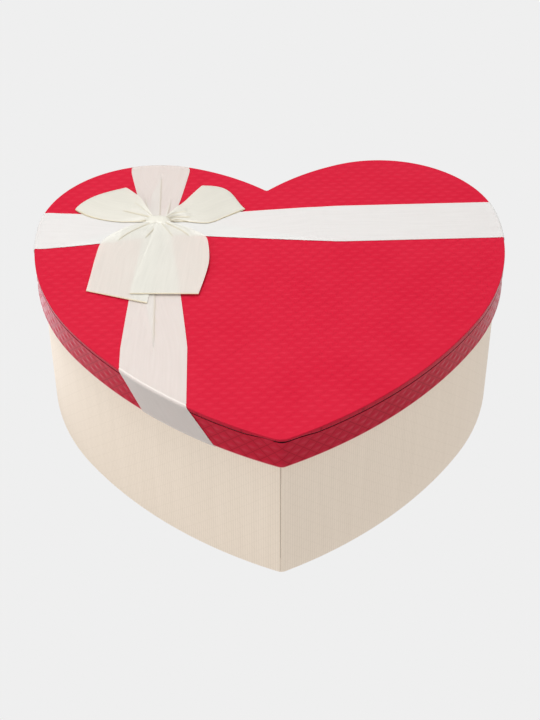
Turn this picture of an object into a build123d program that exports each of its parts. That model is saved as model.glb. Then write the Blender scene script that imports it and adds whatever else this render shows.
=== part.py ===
from build123d import *
from math import acos, atan2, cos, degrees, hypot, radians, sin, sqrt
import os

# A heart-shaped paperboard gift box: a cream tray, a red lift-off lid, two satin ribbons and a tied bow.
# Millimetres. +Z is up, the heart's tip points to -Y, and the origin is under the middle of the box.
# Every layer is an inset of one heart outline, measured inwards from the lid's outer face.

# Overall sizes
LID_WIDTH = 290.0
TOTAL_HEIGHT = 109.0
RIM_HEIGHT = 20.8

# Heart outline: four tangent arcs each side, as shares of half the lid's width, and where each arc ends
FLANK_RADIUS_SHARE = 1.92
SHOULDER_RADIUS_SHARE = 1.07
LOBE_RADIUS_SHARE = 0.50
CLEFT_RADIUS_SHARE = 0.94
FLANK_END_ANGLE = -34.9
SHOULDER_END_ANGLE = 6.5
LOBE_END_ANGLE = 109.1
RIM_TIP_RADIUS = 5.0
PANEL_TIP_RADIUS = 11.0
BASE_TIP_RADIUS = 5.5
CLEFT_CREASE_RADIUS = 1.5

# Sheet materials
COVER_PAPER = 0.3
LINING_PAPER = 0.2
BOTTOM_PAPER = 0.2
STAY_TAPE = 0.3
GLUE_LINE = 0.05
PANEL_BOARD = 1.5
RIM_BOARD = 1.5
WALL_BOARD = 2.0
FLOOR_BOARD = 2.0

# How the papers are turned, lapped and lined
LID_CLEARANCE = 1.0
SEAM_GAP = 0.5
TURN_UNDER = 12.0
LID_TURN_IN = 9.0
BASE_TURN_IN = 18.0
LINING_REVEAL = 3.0
LINING_FIT = 0.3
BOTTOM_INSET = 3.0
STAY_WIDTH = 24.0
STAY_GAP = 0.3
WRAP_SEAM_X = -2.0
WRAP_SEAM_GAP = 0.3

# Ribbon
RIBBON_WIDTH = 38.0
RIBBON_THICKNESS = 0.35
RIBBON_WAIST = 12.0
LONG_RIBBON_X = -68.7
CROSS_RIBBON_Y = 62.2
FRONT_GATHER = 95.0
BACK_GATHER = 55.0
LEFT_GATHER = 60.0
RIGHT_GATHER = 105.0
RIBBON_RAMP = 12.0
RIBBON_FLAP = 12.0
TAPE_PAD = 0.1
TAPE_MARGIN = 2.0

# Bow
KNOT_RADIUS = 6.2
KNOT_HEIGHT = 8.0
KNOT_ROUNDING_SHARE = 0.33
BOW_GAP = 0.2
LOOP_NECK_RADIUS = 2.6
LOOP_END_RADIUS = 5.5
LOOP_LIFT = 0.5
LEFT_LOOP_ANGLE = 119.7
RIGHT_LOOP_ANGLE = 49.6
TAIL_RISE = 4.2
TAIL_ARCH = 2.2
TAIL_SPACING = 0.5

# Plan outlines of the bow's pieces, measured from the knot as shares of the ribbon's width
LEFT_LOOP_SHARES = (
    (-0.10, 0.11), (-0.60, 0.09), (-0.89, 0.16), (-1.19, 0.31), (-1.40, 0.43), (-0.57, 0.90), (-0.33, 0.63),
)
RIGHT_LOOP_SHARES = (
    (0.10, 0.11), (0.43, 0.05), (0.86, 0.06), (1.26, 0.26), (1.43, 0.32), (0.73, 0.91), (0.32, 0.35),
)
LEFT_TAIL_SHARES = (
    (-0.05, -0.10), (-0.30, -0.13), (-0.88, -0.43), (-0.97, -0.45), (-1.08, -1.67), (-0.14, -2.00),
    (0.05, -0.16),
)
RIGHT_TAIL_SHARES = (
    (0.05, -0.10), (0.35, -0.15), (0.76, -0.41), (0.81, -1.20), (0.67, -1.85), (-0.43, -1.79),
    (-0.05, -0.16),
)

# Insets of the layers, from the lid's outer face inwards
inner_layer = max(COVER_PAPER, STAY_TAPE)
rim_board_out = COVER_PAPER + GLUE_LINE
rim_board_in = rim_board_out + RIM_BOARD
rim_turn_out = rim_board_in + GLUE_LINE
rim_lining_out = rim_turn_out + inner_layer + GLUE_LINE
rim_inside = rim_lining_out + LINING_PAPER
base_outside = rim_inside + LID_CLEARANCE
wall_board_out = base_outside + COVER_PAPER + GLUE_LINE
wall_board_in = wall_board_out + WALL_BOARD
wall_turn_out = wall_board_in + GLUE_LINE
wall_lining_out = wall_turn_out + inner_layer + GLUE_LINE
base_inside = wall_lining_out + LINING_PAPER
base_corner = BASE_TIP_RADIUS + base_outside
overrun = LID_WIDTH + TOTAL_HEIGHT

# Levels, from the table up
wrap_bottom = BOTTOM_PAPER
board_bottom = wrap_bottom + COVER_PAPER
floor_top = board_bottom + FLOOR_BOARD
lid_top = TOTAL_HEIGHT
panel_top = lid_top - COVER_PAPER
panel_bottom = panel_top - PANEL_BOARD
rim_top = panel_bottom - COVER_PAPER
lid_ceiling = rim_top - LINING_PAPER
base_top = lid_ceiling
wall_top = base_top - COVER_PAPER
rim_bottom = lid_top - RIM_HEIGHT
rim_board_bottom = rim_bottom + COVER_PAPER
knot_seat = lid_top + 2 * RIBBON_THICKNESS + GLUE_LINE

# Heart outline
half_width = LID_WIDTH / 2
flank_radius = FLANK_RADIUS_SHARE * half_width
shoulder_radius = SHOULDER_RADIUS_SHARE * half_width
lobe_radius = LOBE_RADIUS_SHARE * half_width
cleft_radius = CLEFT_RADIUS_SHARE * half_width


def polar(centre, radius, angle):
    """The point at this radius and angle from centre."""
    return (centre[0] + radius * cos(radians(angle)), centre[1] + radius * sin(radians(angle)))


def heart_centres():
    """The centres of the flank, shoulder, lobe and cleft arcs, with the heart's depth centred on y = 0."""
    shoulder = (half_width - shoulder_radius, 0)
    flank = polar(shoulder, shoulder_radius - flank_radius, FLANK_END_ANGLE)
    lobe = polar(shoulder, shoulder_radius - lobe_radius, SHOULDER_END_ANGLE)
    cleft = polar(lobe, lobe_radius - cleft_radius, LOBE_END_ANGLE)
    tip = flank[1] - sqrt((flank_radius - RIM_TIP_RADIUS) ** 2 - flank[0] ** 2) - RIM_TIP_RADIUS
    middle = (tip + lobe[1] + lobe_radius) / 2
    return [(x, y - middle) for x, y in (flank, shoulder, lobe, cleft)]


flank_centre, shoulder_centre, lobe_centre, cleft_centre = heart_centres()


def half_heart(inset, corner):
    """The arcs of the heart's right half from tip to cleft, each (centre, radius, first angle, last angle).

    corner is the tip's radius at inset zero; further in than that the tip is sharp.
    """
    tip_radius = max(corner - inset, 0)
    reach = flank_radius - inset - tip_radius
    tip_centre = (0, flank_centre[1] - sqrt(reach**2 - flank_centre[0] ** 2))
    tip_angle = degrees(atan2(tip_centre[1] - flank_centre[1], -flank_centre[0]))
    crease_reach = cleft_radius + CLEFT_CREASE_RADIUS
    crease_centre = (0, cleft_centre[1] + sqrt(crease_reach**2 - cleft_centre[0] ** 2))
    crease_angle = degrees(atan2(crease_centre[1] - cleft_centre[1], -cleft_centre[0]))
    arcs = [
        (flank_centre, flank_radius - inset, tip_angle, FLANK_END_ANGLE),
        (shoulder_centre, shoulder_radius - inset, FLANK_END_ANGLE, SHOULDER_END_ANGLE),
        (lobe_centre, lobe_radius - inset, SHOULDER_END_ANGLE, LOBE_END_ANGLE),
        (cleft_centre, cleft_radius - inset, LOBE_END_ANGLE, crease_angle),
        (crease_centre, CLEFT_CREASE_RADIUS + inset, -90, crease_angle - 180),
    ]
    if tip_radius > 0:
        arcs.insert(0, (tip_centre, tip_radius, -90, tip_angle))
    return arcs


def heart_face(inset, corner):
    """The heart as a flat face at z = 0."""
    edges = []
    for (x, y), radius, first, last in half_heart(inset, corner):
        edges.append(CenterArc((x, y), radius, first, last - first))
        edges.append(CenterArc((-x, y), radius, 180 - last, last - first))
    return make_face(edges)


def heart_plate(inset, corner, low, high):
    """A heart-shaped sheet between two levels."""
    return Pos(0, 0, low) * extrude(heart_face(inset, corner), high - low)


def heart_band(outside, inside, corner, low, high):
    """A heart-shaped wall between two insets and two levels."""
    return heart_plate(outside, corner, low, high) - heart_plate(inside, corner, low, high)


def slab(left, right, front, back, low, high):
    """A block between two values on each axis."""
    middle = ((left + right) / 2, (front + back) / 2, (low + high) / 2)
    return Pos(*middle) * Box(right - left, back - front, high - low)


def split_halves(band):
    """The left and right halves of a band, butting on the heart's middle plane."""
    left = band & slab(-overrun, 0, -overrun, overrun, 0, overrun)
    right = band & slab(0, overrun, -overrun, overrun, 0, overrun)
    return left, right


def stays(outside, corner, low, high):
    """The two tapes over a wall's butt joints: at the tip and at the cleft."""
    band = heart_band(outside, outside + STAY_TAPE, corner, low, high)
    tip = band & slab(-STAY_WIDTH / 2, STAY_WIDTH / 2, -overrun, 0, low, high)
    cleft = band & slab(-STAY_WIDTH / 2, STAY_WIDTH / 2, 0, overrun, low, high)
    return tip, cleft


nodes = {}

# Base: the boards, and the tape over their joints
base_wall = heart_band(wall_board_out, wall_board_in, base_corner, board_bottom, wall_top)
nodes["base_wall_board_left"], nodes["base_wall_board_right"] = split_halves(base_wall)
nodes["base_floor_board"] = heart_plate(wall_board_in + GLUE_LINE, base_corner, board_bottom, floor_top)
nodes["base_tip_stay"], nodes["base_cleft_stay"] = stays(
    wall_turn_out, base_corner, floor_top, base_top - BASE_TURN_IN - STAY_GAP
)

# Base: the cream wrap, turned in over the wall and under the floor, open at its seam beside the tip
wrap = heart_band(base_outside, base_outside + COVER_PAPER, base_corner, wrap_bottom, base_top)
wrap += heart_band(base_outside, wall_turn_out + COVER_PAPER, base_corner, wall_top, base_top)
wrap += heart_band(wall_turn_out, wall_turn_out + COVER_PAPER, base_corner, base_top - BASE_TURN_IN, base_top)
wrap += heart_band(base_outside, base_outside + TURN_UNDER, base_corner, wrap_bottom, board_bottom)
seam_half = WRAP_SEAM_GAP / 2
wrap -= slab(WRAP_SEAM_X - seam_half, WRAP_SEAM_X + seam_half, -overrun, 0, 0, overrun)
nodes["base_wrap_paper"] = wrap
nodes["base_bottom_sheet"] = heart_plate(base_outside + BOTTOM_INSET, base_corner, 0, wrap_bottom)

# Base: the white lining
nodes["base_wall_lining"] = heart_band(
    wall_lining_out, base_inside, base_corner, floor_top, base_top - LINING_REVEAL
)
nodes["base_floor_lining"] = heart_plate(
    base_inside + LINING_FIT, base_corner, floor_top, floor_top + LINING_PAPER
)

# Lid: the boards, and the tape over the rim's joints
lid_rim = heart_band(rim_board_out, rim_board_in, RIM_TIP_RADIUS, rim_board_bottom, rim_top)
nodes["lid_rim_board_left"], nodes["lid_rim_board_right"] = split_halves(lid_rim)
nodes["lid_panel_board"] = heart_plate(
    COVER_PAPER + GLUE_LINE, PANEL_TIP_RADIUS, panel_bottom, panel_top
)
nodes["lid_tip_stay"], nodes["lid_cleft_stay"] = stays(
    rim_turn_out, RIM_TIP_RADIUS, rim_bottom + LID_TURN_IN + STAY_GAP, lid_ceiling
)

# Lid: the red paper over the panel and its edge, and the red paper round the rim below the seam
top_paper = heart_plate(0, PANEL_TIP_RADIUS, rim_top, lid_top)
top_paper -= heart_plate(COVER_PAPER, PANEL_TIP_RADIUS, panel_bottom, panel_top)
top_paper -= heart_plate(TURN_UNDER, PANEL_TIP_RADIUS, rim_top, panel_bottom)
nodes["lid_top_paper"] = top_paper
rim_paper = heart_band(0, COVER_PAPER, RIM_TIP_RADIUS, rim_bottom, rim_top - SEAM_GAP)
rim_paper += heart_band(0, rim_turn_out + COVER_PAPER, RIM_TIP_RADIUS, rim_bottom, rim_board_bottom)
rim_paper += heart_band(
    rim_turn_out, rim_turn_out + COVER_PAPER, RIM_TIP_RADIUS, rim_bottom, rim_bottom + LID_TURN_IN
)
nodes["lid_rim_paper"] = rim_paper

# Lid: the white lining
nodes["lid_rim_lining"] = heart_band(
    rim_lining_out, rim_inside, RIM_TIP_RADIUS, rim_bottom + LINING_REVEAL, lid_ceiling
)
nodes["lid_panel_lining"] = heart_plate(rim_board_in + LINING_FIT, RIM_TIP_RADIUS, lid_ceiling, rim_top)

# Ribbons: insets and levels of the parts that wrap the rim
ribbon_out = -GLUE_LINE - RIBBON_THICKNESS
ribbon_under = rim_bottom - GLUE_LINE
ribbon_lowest = ribbon_under - RIBBON_THICKNESS
tape_out = rim_inside + GLUE_LINE
flap_out = tape_out + TAPE_PAD + GLUE_LINE
flap_in = flap_out + RIBBON_THICKNESS
crossing = (LONG_RIBBON_X, CROSS_RIBBON_Y)


def edge_point(start, direction):
    """Where a line from a point inside the heart, along a unit direction, leaves the lid's outline."""
    furthest = 0
    for (centre_x, centre_y), radius, first, last in half_heart(0, RIM_TIP_RADIUS):
        for side in (1, -1):
            away = (start[0] - side * centre_x, start[1] - centre_y)
            along = away[0] * direction[0] + away[1] * direction[1]
            inside = along**2 - away[0] ** 2 - away[1] ** 2 + radius**2
            if inside < 0:
                continue
            reach = sqrt(inside) - along
            hit = (away[0] + reach * direction[0], away[1] + reach * direction[1])
            if first <= degrees(atan2(hit[1], side * hit[0])) <= last:
                furthest = max(furthest, reach)
    return (start[0] + furthest * direction[0], start[1] + furthest * direction[1])


class RibbonEnd:
    """Where a ribbon folds over the lid's edge: flat cloth keeps its angle to the edge as it goes down."""

    def __init__(self, direction):
        across = (-direction[1] * RIBBON_WIDTH / 2, direction[0] * RIBBON_WIDTH / 2)
        self.near = edge_point((crossing[0] - across[0], crossing[1] - across[1]), direction)
        far = edge_point((crossing[0] + across[0], crossing[1] + across[1]), direction)
        self.chord = hypot(far[0] - self.near[0], far[1] - self.near[1])
        self.along = ((far[0] - self.near[0]) / self.chord, (far[1] - self.near[1]) / self.chord)
        self.outward = (self.along[1], -self.along[0])
        drift = direction[0] * self.along[0] + direction[1] * self.along[1]
        self.drift = drift / (direction[0] * self.outward[0] + direction[1] * self.outward[1])

    def stretch(self, low_shift, low, high_shift, high, margin=0):
        """A slanting block through the rim, as wide as the ribbon less a margin each side."""
        plane = Plane((*self.near, 0), x_dir=(*self.along, 0), z_dir=(*self.outward, 0))
        left, right = margin, self.chord - margin
        outline = Polyline(
            (left + low_shift, low), (right + low_shift, low),
            (right + high_shift, high), (left + high_shift, high),
            close=True,
        )
        return extrude(plane * make_face(outline), RIBBON_WIDTH / 2, both=True)

    def cloth(self):
        """The ribbon down the rim, under its edge and up inside."""
        fallen = self.drift * (lid_top - ribbon_lowest)
        climbed = fallen + self.drift * (rim_bottom + RIBBON_FLAP - ribbon_lowest)
        drop = heart_band(ribbon_out, -GLUE_LINE, RIM_TIP_RADIUS, ribbon_lowest, lid_top)
        under = heart_band(ribbon_out, flap_in, RIM_TIP_RADIUS, ribbon_lowest, ribbon_under)
        flap = heart_band(flap_out, flap_in, RIM_TIP_RADIUS, ribbon_lowest, rim_bottom + RIBBON_FLAP)
        cloth = drop & self.stretch(fallen, ribbon_lowest, 0, lid_top)
        cloth += under & self.stretch(fallen, ribbon_lowest, fallen, ribbon_under)
        cloth += flap & self.stretch(fallen, ribbon_lowest, climbed, rim_bottom + RIBBON_FLAP)
        return cloth

    def tape(self):
        """The pad of tape between the flap and the rim's lining."""
        low = rim_bottom + LINING_REVEAL + TAPE_MARGIN
        high = rim_bottom + RIBBON_FLAP - TAPE_MARGIN
        fallen = self.drift * (lid_top - ribbon_lowest)
        low_shift = fallen + self.drift * (low - ribbon_lowest)
        high_shift = fallen + self.drift * (high - ribbon_lowest)
        pad = heart_band(tape_out, tape_out + TAPE_PAD, RIM_TIP_RADIUS, low, high)
        return pad & self.stretch(low_shift, low, high_shift, high, TAPE_MARGIN)


def strap_plan(angle, gather_before, gather_after):
    """The upright prism of a ribbon's plan: full width at its ends, drawn in to a waist at the knot."""
    wide, narrow = RIBBON_WIDTH / 2, RIBBON_WAIST / 2
    outline = [
        (-overrun, wide), (-gather_before, wide), (-KNOT_RADIUS, narrow),
        (KNOT_RADIUS, narrow), (gather_after, wide), (overrun, wide),
    ]
    outline += [(reach, -half) for reach, half in reversed(outline)]
    prism = extrude(make_face(Polyline(*outline, close=True)), overrun)
    return Pos(*crossing, 0) * Rot(0, 0, angle) * prism


lid_shadow = heart_plate(ribbon_out, RIM_TIP_RADIUS, lid_top, lid_top + RIM_HEIGHT)

# Cross ribbon: flat on the lid from left to right
left_end, right_end = RibbonEnd((-1, 0)), RibbonEnd((1, 0))
cross_strap = slab(-overrun, overrun, -overrun, overrun, lid_top, lid_top + RIBBON_THICKNESS)
cross_strap = cross_strap & strap_plan(0, LEFT_GATHER, RIGHT_GATHER) & lid_shadow
nodes["cross_ribbon"] = cross_strap + left_end.cloth() + right_end.cloth()

# Long ribbon: from front to back, lifted over the cross ribbon
front_end, back_end = RibbonEnd((0, -1)), RibbonEnd((0, 1))
lifted = lid_top + RIBBON_THICKNESS + GLUE_LINE
bridge = RIBBON_WIDTH / 2
course = [
    (-overrun, lid_top),
    (CROSS_RIBBON_Y - bridge - RIBBON_RAMP, lid_top),
    (CROSS_RIBBON_Y - bridge, lifted),
    (CROSS_RIBBON_Y + bridge, lifted),
    (CROSS_RIBBON_Y + bridge + RIBBON_RAMP, lid_top),
    (overrun, lid_top),
]
course += [(y, z + RIBBON_THICKNESS) for y, z in reversed(course)]
long_strap = extrude(Plane.YZ * make_face(Polyline(*course, close=True)), overrun, both=True)
long_strap = long_strap & strap_plan(90, FRONT_GATHER, BACK_GATHER) & lid_shadow
nodes["long_ribbon"] = long_strap + front_end.cloth() + back_end.cloth()

# The tape under the ribbons' ends
ends = (left_end, right_end, front_end, back_end)
nodes["ribbon_end_tape"] = Compound([end.tape().solid() for end in ends])

# Bow: the knot
knot_block = Cylinder(KNOT_RADIUS, KNOT_HEIGHT, align=(Align.CENTER, Align.CENTER, Align.MIN))
knot_rims = knot_block.edges().filter_by(GeomType.CIRCLE)
nodes["bow_knot"] = Pos(*crossing, knot_seat) * fillet(knot_rims, KNOT_ROUNDING_SHARE * KNOT_HEIGHT)


def bow_plan(shares):
    """The upright prism of a bow piece's plan outline."""
    points = [(x * RIBBON_WIDTH, y * RIBBON_WIDTH) for x, y in shares]
    prism = extrude(make_face(Polyline(*points, close=True)), overrun)
    return Pos(*crossing, 0) * prism


def teardrop(neck, neck_radius, end, end_radius):
    """The face inside two circles and their outer tangents: a loop of ribbon seen edge on."""
    span = hypot(end[0] - neck[0], end[1] - neck[1])
    tilt = degrees(atan2(end[1] - neck[1], end[0] - neck[0]))
    spread = degrees(acos((neck_radius - end_radius) / span))
    neck_top, end_top = polar(neck, neck_radius, tilt + spread), polar(end, end_radius, tilt + spread)
    neck_low, end_low = polar(neck, neck_radius, tilt - spread), polar(end, end_radius, tilt - spread)
    return make_face(
        [
            Line(neck_top, end_top),
            ThreePointArc(end_top, polar(end, end_radius, tilt), end_low),
            Line(end_low, neck_low),
            ThreePointArc(neck_low, polar(neck, -neck_radius, tilt), neck_top),
        ]
    )


def bow_loop(angle, shares):
    """A loop of ribbon: its edge-on band carried across the fold and trimmed to its plan."""
    outward = (cos(radians(angle)), sin(radians(angle)))
    reach = RIBBON_WIDTH * max(x * outward[0] + y * outward[1] for x, y in shares)
    plane = Plane((*crossing, 0), x_dir=(*outward, 0), z_dir=(outward[1], -outward[0], 0))
    neck = (KNOT_RADIUS + BOW_GAP + LOOP_NECK_RADIUS, knot_seat + KNOT_HEIGHT / 2)
    end = (reach - LOOP_END_RADIUS, knot_seat + LOOP_LIFT + LOOP_END_RADIUS)
    band = teardrop(neck, LOOP_NECK_RADIUS, end, LOOP_END_RADIUS)
    band -= teardrop(neck, LOOP_NECK_RADIUS - RIBBON_THICKNESS, end, LOOP_END_RADIUS - RIBBON_THICKNESS)
    return extrude(plane * band, overrun, both=True) & bow_plan(shares)


tail_reach = RIBBON_WIDTH * max(-y for x, y in LEFT_TAIL_SHARES + RIGHT_TAIL_SHARES)


def bow_tail(lift, shares):
    """A tail: a thin sheet that arches from the knot down to the lid."""
    near = (CROSS_RIBBON_Y - KNOT_RADIUS - BOW_GAP, knot_seat + lift + TAIL_RISE)
    far = (CROSS_RIBBON_Y - KNOT_RADIUS - tail_reach, knot_seat + lift)
    crown = ((near[0] + far[0]) / 2, (near[1] + far[1]) / 2 + TAIL_ARCH)
    low = ThreePointArc(near, crown, far)
    high = Pos(0, RIBBON_THICKNESS) * low
    sides = [Line(low @ 0, high @ 0), Line(low @ 1, high @ 1)]
    sheet = extrude(Plane.YZ * make_face([low, high, *sides]), overrun, both=True)
    return sheet & bow_plan(shares)


# Bow: the loops and the tails, the right tail over the left one
nodes["bow_loop_left"] = bow_loop(LEFT_LOOP_ANGLE, LEFT_LOOP_SHARES)
nodes["bow_loop_right"] = bow_loop(RIGHT_LOOP_ANGLE, RIGHT_LOOP_SHARES)
nodes["bow_tail_left"] = bow_tail(BOW_GAP, LEFT_TAIL_SHARES)
nodes["bow_tail_right"] = bow_tail(BOW_GAP + RIBBON_THICKNESS + TAIL_SPACING, RIGHT_TAIL_SHARES)

os.makedirs("parts", exist_ok=True)
for name, shape in nodes.items():
    export_step(shape, f"parts/{name}.step")
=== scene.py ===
"""Looks of the heart gift box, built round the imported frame: papers, ribbons, bow and studio.

Sizes are in millimetres in the row frame of the part's source, and every finished mesh is in metres.
"""

from __future__ import annotations

import logging
import math
from dataclasses import dataclass
from enum import Enum
from typing import Any, Callable, Sequence

import bmesh
import bpy
import numpy as np
from mathutils import Matrix, Vector
from mathutils.kdtree import KDTree

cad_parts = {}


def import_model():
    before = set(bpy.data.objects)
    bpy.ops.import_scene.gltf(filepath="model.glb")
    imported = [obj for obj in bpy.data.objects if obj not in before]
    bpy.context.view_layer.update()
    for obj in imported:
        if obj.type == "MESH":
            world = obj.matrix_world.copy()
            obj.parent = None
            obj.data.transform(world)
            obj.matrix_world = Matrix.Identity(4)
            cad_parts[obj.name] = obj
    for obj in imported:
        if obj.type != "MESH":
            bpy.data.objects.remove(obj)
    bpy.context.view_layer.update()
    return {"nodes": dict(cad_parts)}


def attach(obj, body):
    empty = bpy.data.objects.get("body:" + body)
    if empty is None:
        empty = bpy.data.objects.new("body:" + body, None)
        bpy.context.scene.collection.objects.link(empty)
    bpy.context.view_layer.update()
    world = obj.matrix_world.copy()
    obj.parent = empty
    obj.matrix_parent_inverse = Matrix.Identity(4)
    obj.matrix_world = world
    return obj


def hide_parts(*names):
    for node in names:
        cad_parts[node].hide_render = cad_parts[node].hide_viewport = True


LOG = logging.getLogger("heart_box")

# Metres in a millimetre
MM = 0.001

# Places and sizes that several pieces share, in millimetres
LID_TOP = 109.0
KNOT_PLACE = (-68.7, 62.2)
RIBBON_WIDTH = 38.0
RIBBON_THICKNESS = 0.16
RIBBON_LAYER = 0.18

# How far a fold's painted warm shade spreads to each side in millimetres, and how strong it is
FOLD_SPREAD = 0.4
FOLD_SHADE_TONE = 0.35

# Edges flatter than these angles in degrees are shaded smooth
PAPER_SMOOTH = 50.0
RIBBON_SMOOTH = 60.0


class Body(Enum):
    """The two bodies that pieces ride on."""

    BASE = "base"
    LID = "lid"


class Slot(Enum):
    """The record's material slots."""

    RED_PAPER = "red_paper"
    CREAM_PAPER = "cream_paper"
    RIBBON = "satin_ribbon"


class Hold(Enum):
    """How a piece of ribbon is held."""

    GATHERED = "gathered"
    FOLDED = "folded"


# Colour and node helpers
# Sockets by number: Map Range takes its value in 0, the old range in 1 and 2 and the new one in 3 and 4
# Mix takes its share in 0 and its two colours in 6 and 7, and gives the mixed colour in output 2


def linear(colour: str) -> tuple[float, float, float, float]:
    """Turns an sRGB hex colour into linear light.

    Args:
        colour: six hex digits after a hash sign.

    Returns:
        Red, green, blue and an alpha of one.
    """
    shades = [int(colour[i : i + 2], 16) / 255 for i in (1, 3, 5)]
    light = [s / 12.92 if s <= 0.04045 else ((s + 0.055) / 1.055) ** 2.4 for s in shades]
    return (light[0], light[1], light[2], 1.0)


def add_node(tree: bpy.types.NodeTree, kind: str, inputs: dict[Any, Any], **settings: Any) -> Any:
    """Adds one node with its settings, and fills its inputs with values or links.

    Args:
        tree: the node tree that gets the node.
        kind: Blender's name of the node type, after the ShaderNode that it starts with.
        inputs: a value or an output socket for each input, by name or number.
        settings: properties of the node itself.

    Returns:
        The new node's outputs, to be picked by name or number.
    """
    node = tree.nodes.new("ShaderNode" + kind)
    for name, value in settings.items():
        setattr(node, name, value)
    for socket, value in inputs.items():
        if isinstance(value, bpy.types.NodeSocket):
            tree.links.new(value, node.inputs[socket])
        else:
            node.inputs[socket].default_value = value
    return node.outputs


def start_material(name: str) -> tuple[bpy.types.Material, bpy.types.NodeTree]:
    """Starts a material with no nodes.

    Args:
        name: the material's name.

    Returns:
        The material and its node tree.
    """
    material = bpy.data.materials.new(name)
    material.use_nodes = True
    material.node_tree.nodes.clear()
    return material, material.node_tree


def end_material(tree: bpy.types.NodeTree, kind: str, sockets: dict[str, Any]) -> None:
    """Ends a material with its one shader.

    Args:
        tree: the material's node tree.
        kind: the shader's node type.
        sockets: values and links for the shader's own sockets.
    """
    surface = add_node(tree, kind, sockets)[0]
    add_node(tree, "OutputMaterial", {"Surface": surface})


# Finishes


@dataclass(frozen=True)
class EmbossPattern:
    """The papers' pressed pattern: diamonds between fine grooves, a lens-shaped bump in each. Millimetres."""

    across: float = 8.6
    along: float = 8.2
    steps: int = 8
    relief: float = 0.1
    bump_half_length: float = 2.9
    bump_half_width: float = 0.85
    groove_half_width: float = 1.1
    groove: float = 0.2
    line_half_width: float = 0.26

    @property
    def cell(self) -> float:
        """The distance between two neighbouring grooves."""
        return 1 / math.hypot(1 / self.across, 1 / self.along)

    def height(self, u: np.ndarray, v: np.ndarray) -> np.ndarray:
        """How far the pattern stands up.

        Args:
            u: distance across the diamonds.
            v: distance along them.

        Returns:
            Heights: 0 on the ground, 1 on a bump, and below 0 in a groove.
        """
        p, q = u / self.across, v / self.along
        a, b = p + q, p - q
        off_a, off_b = a - np.round(a), b - np.round(b)
        du = (off_a + off_b) / 2 * self.across
        dv = (off_a - off_b) / 2 * self.along
        reach = np.clip(1 - (du / self.bump_half_length) ** 2, 0, 1)
        bump = np.clip(1 - (dv / np.maximum(self.bump_half_width * reach, 1e-6)) ** 2, 0, 1)
        gap = np.minimum(0.5 - np.abs(off_a), 0.5 - np.abs(off_b)) * self.cell
        return bump * reach - self.groove * np.clip(1 - gap / self.groove_half_width, 0, 1)

    def lined(
        self, tree: bpy.types.NodeTree, colour: bpy.types.NodeSocket, groove: str, tone: float,
    ) -> bpy.types.NodeSocket:
        """Draws the grooves as darker lines, painted shade, over a material's colour, on the piece's own
        pattern map.

        Args:
            tree: the material's node tree.
            colour: the colour beside the grooves.
            groove: the painted shade's colour in the middle of a groove.
            tone: how much of it shows there.

        Returns:
            The socket of the new colour.
        """
        place = add_node(tree, "UVMap", {}, uv_map="wrap")[0]
        pace = [math.sqrt(2) / (size * MM) for size in (self.across, self.along)]
        turn = (0.0, 0.0, math.radians(45))
        turned = add_node(tree, "Mapping", {"Vector": place, "Scale": (*pace, 1.0), "Rotation": turn})[0]
        ways = add_node(tree, "SeparateXYZ", {0: turned})
        off = [add_node(tree, "Math", {0: way, 1: 0.5}, operation="PINGPONG")[0] for way in ways[:2]]
        near = add_node(tree, "Math", {0: off[0], 1: off[1]}, operation="MAXIMUM")[0]
        line = {0: near, 1: 0.5 - self.line_half_width / self.cell, 2: 0.5, 4: tone}
        deep = add_node(tree, "MapRange", line)[0]
        return add_node(tree, "Mix", {0: deep, 6: colour, 7: linear(groove)}, data_type="RGBA")[2]


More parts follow.
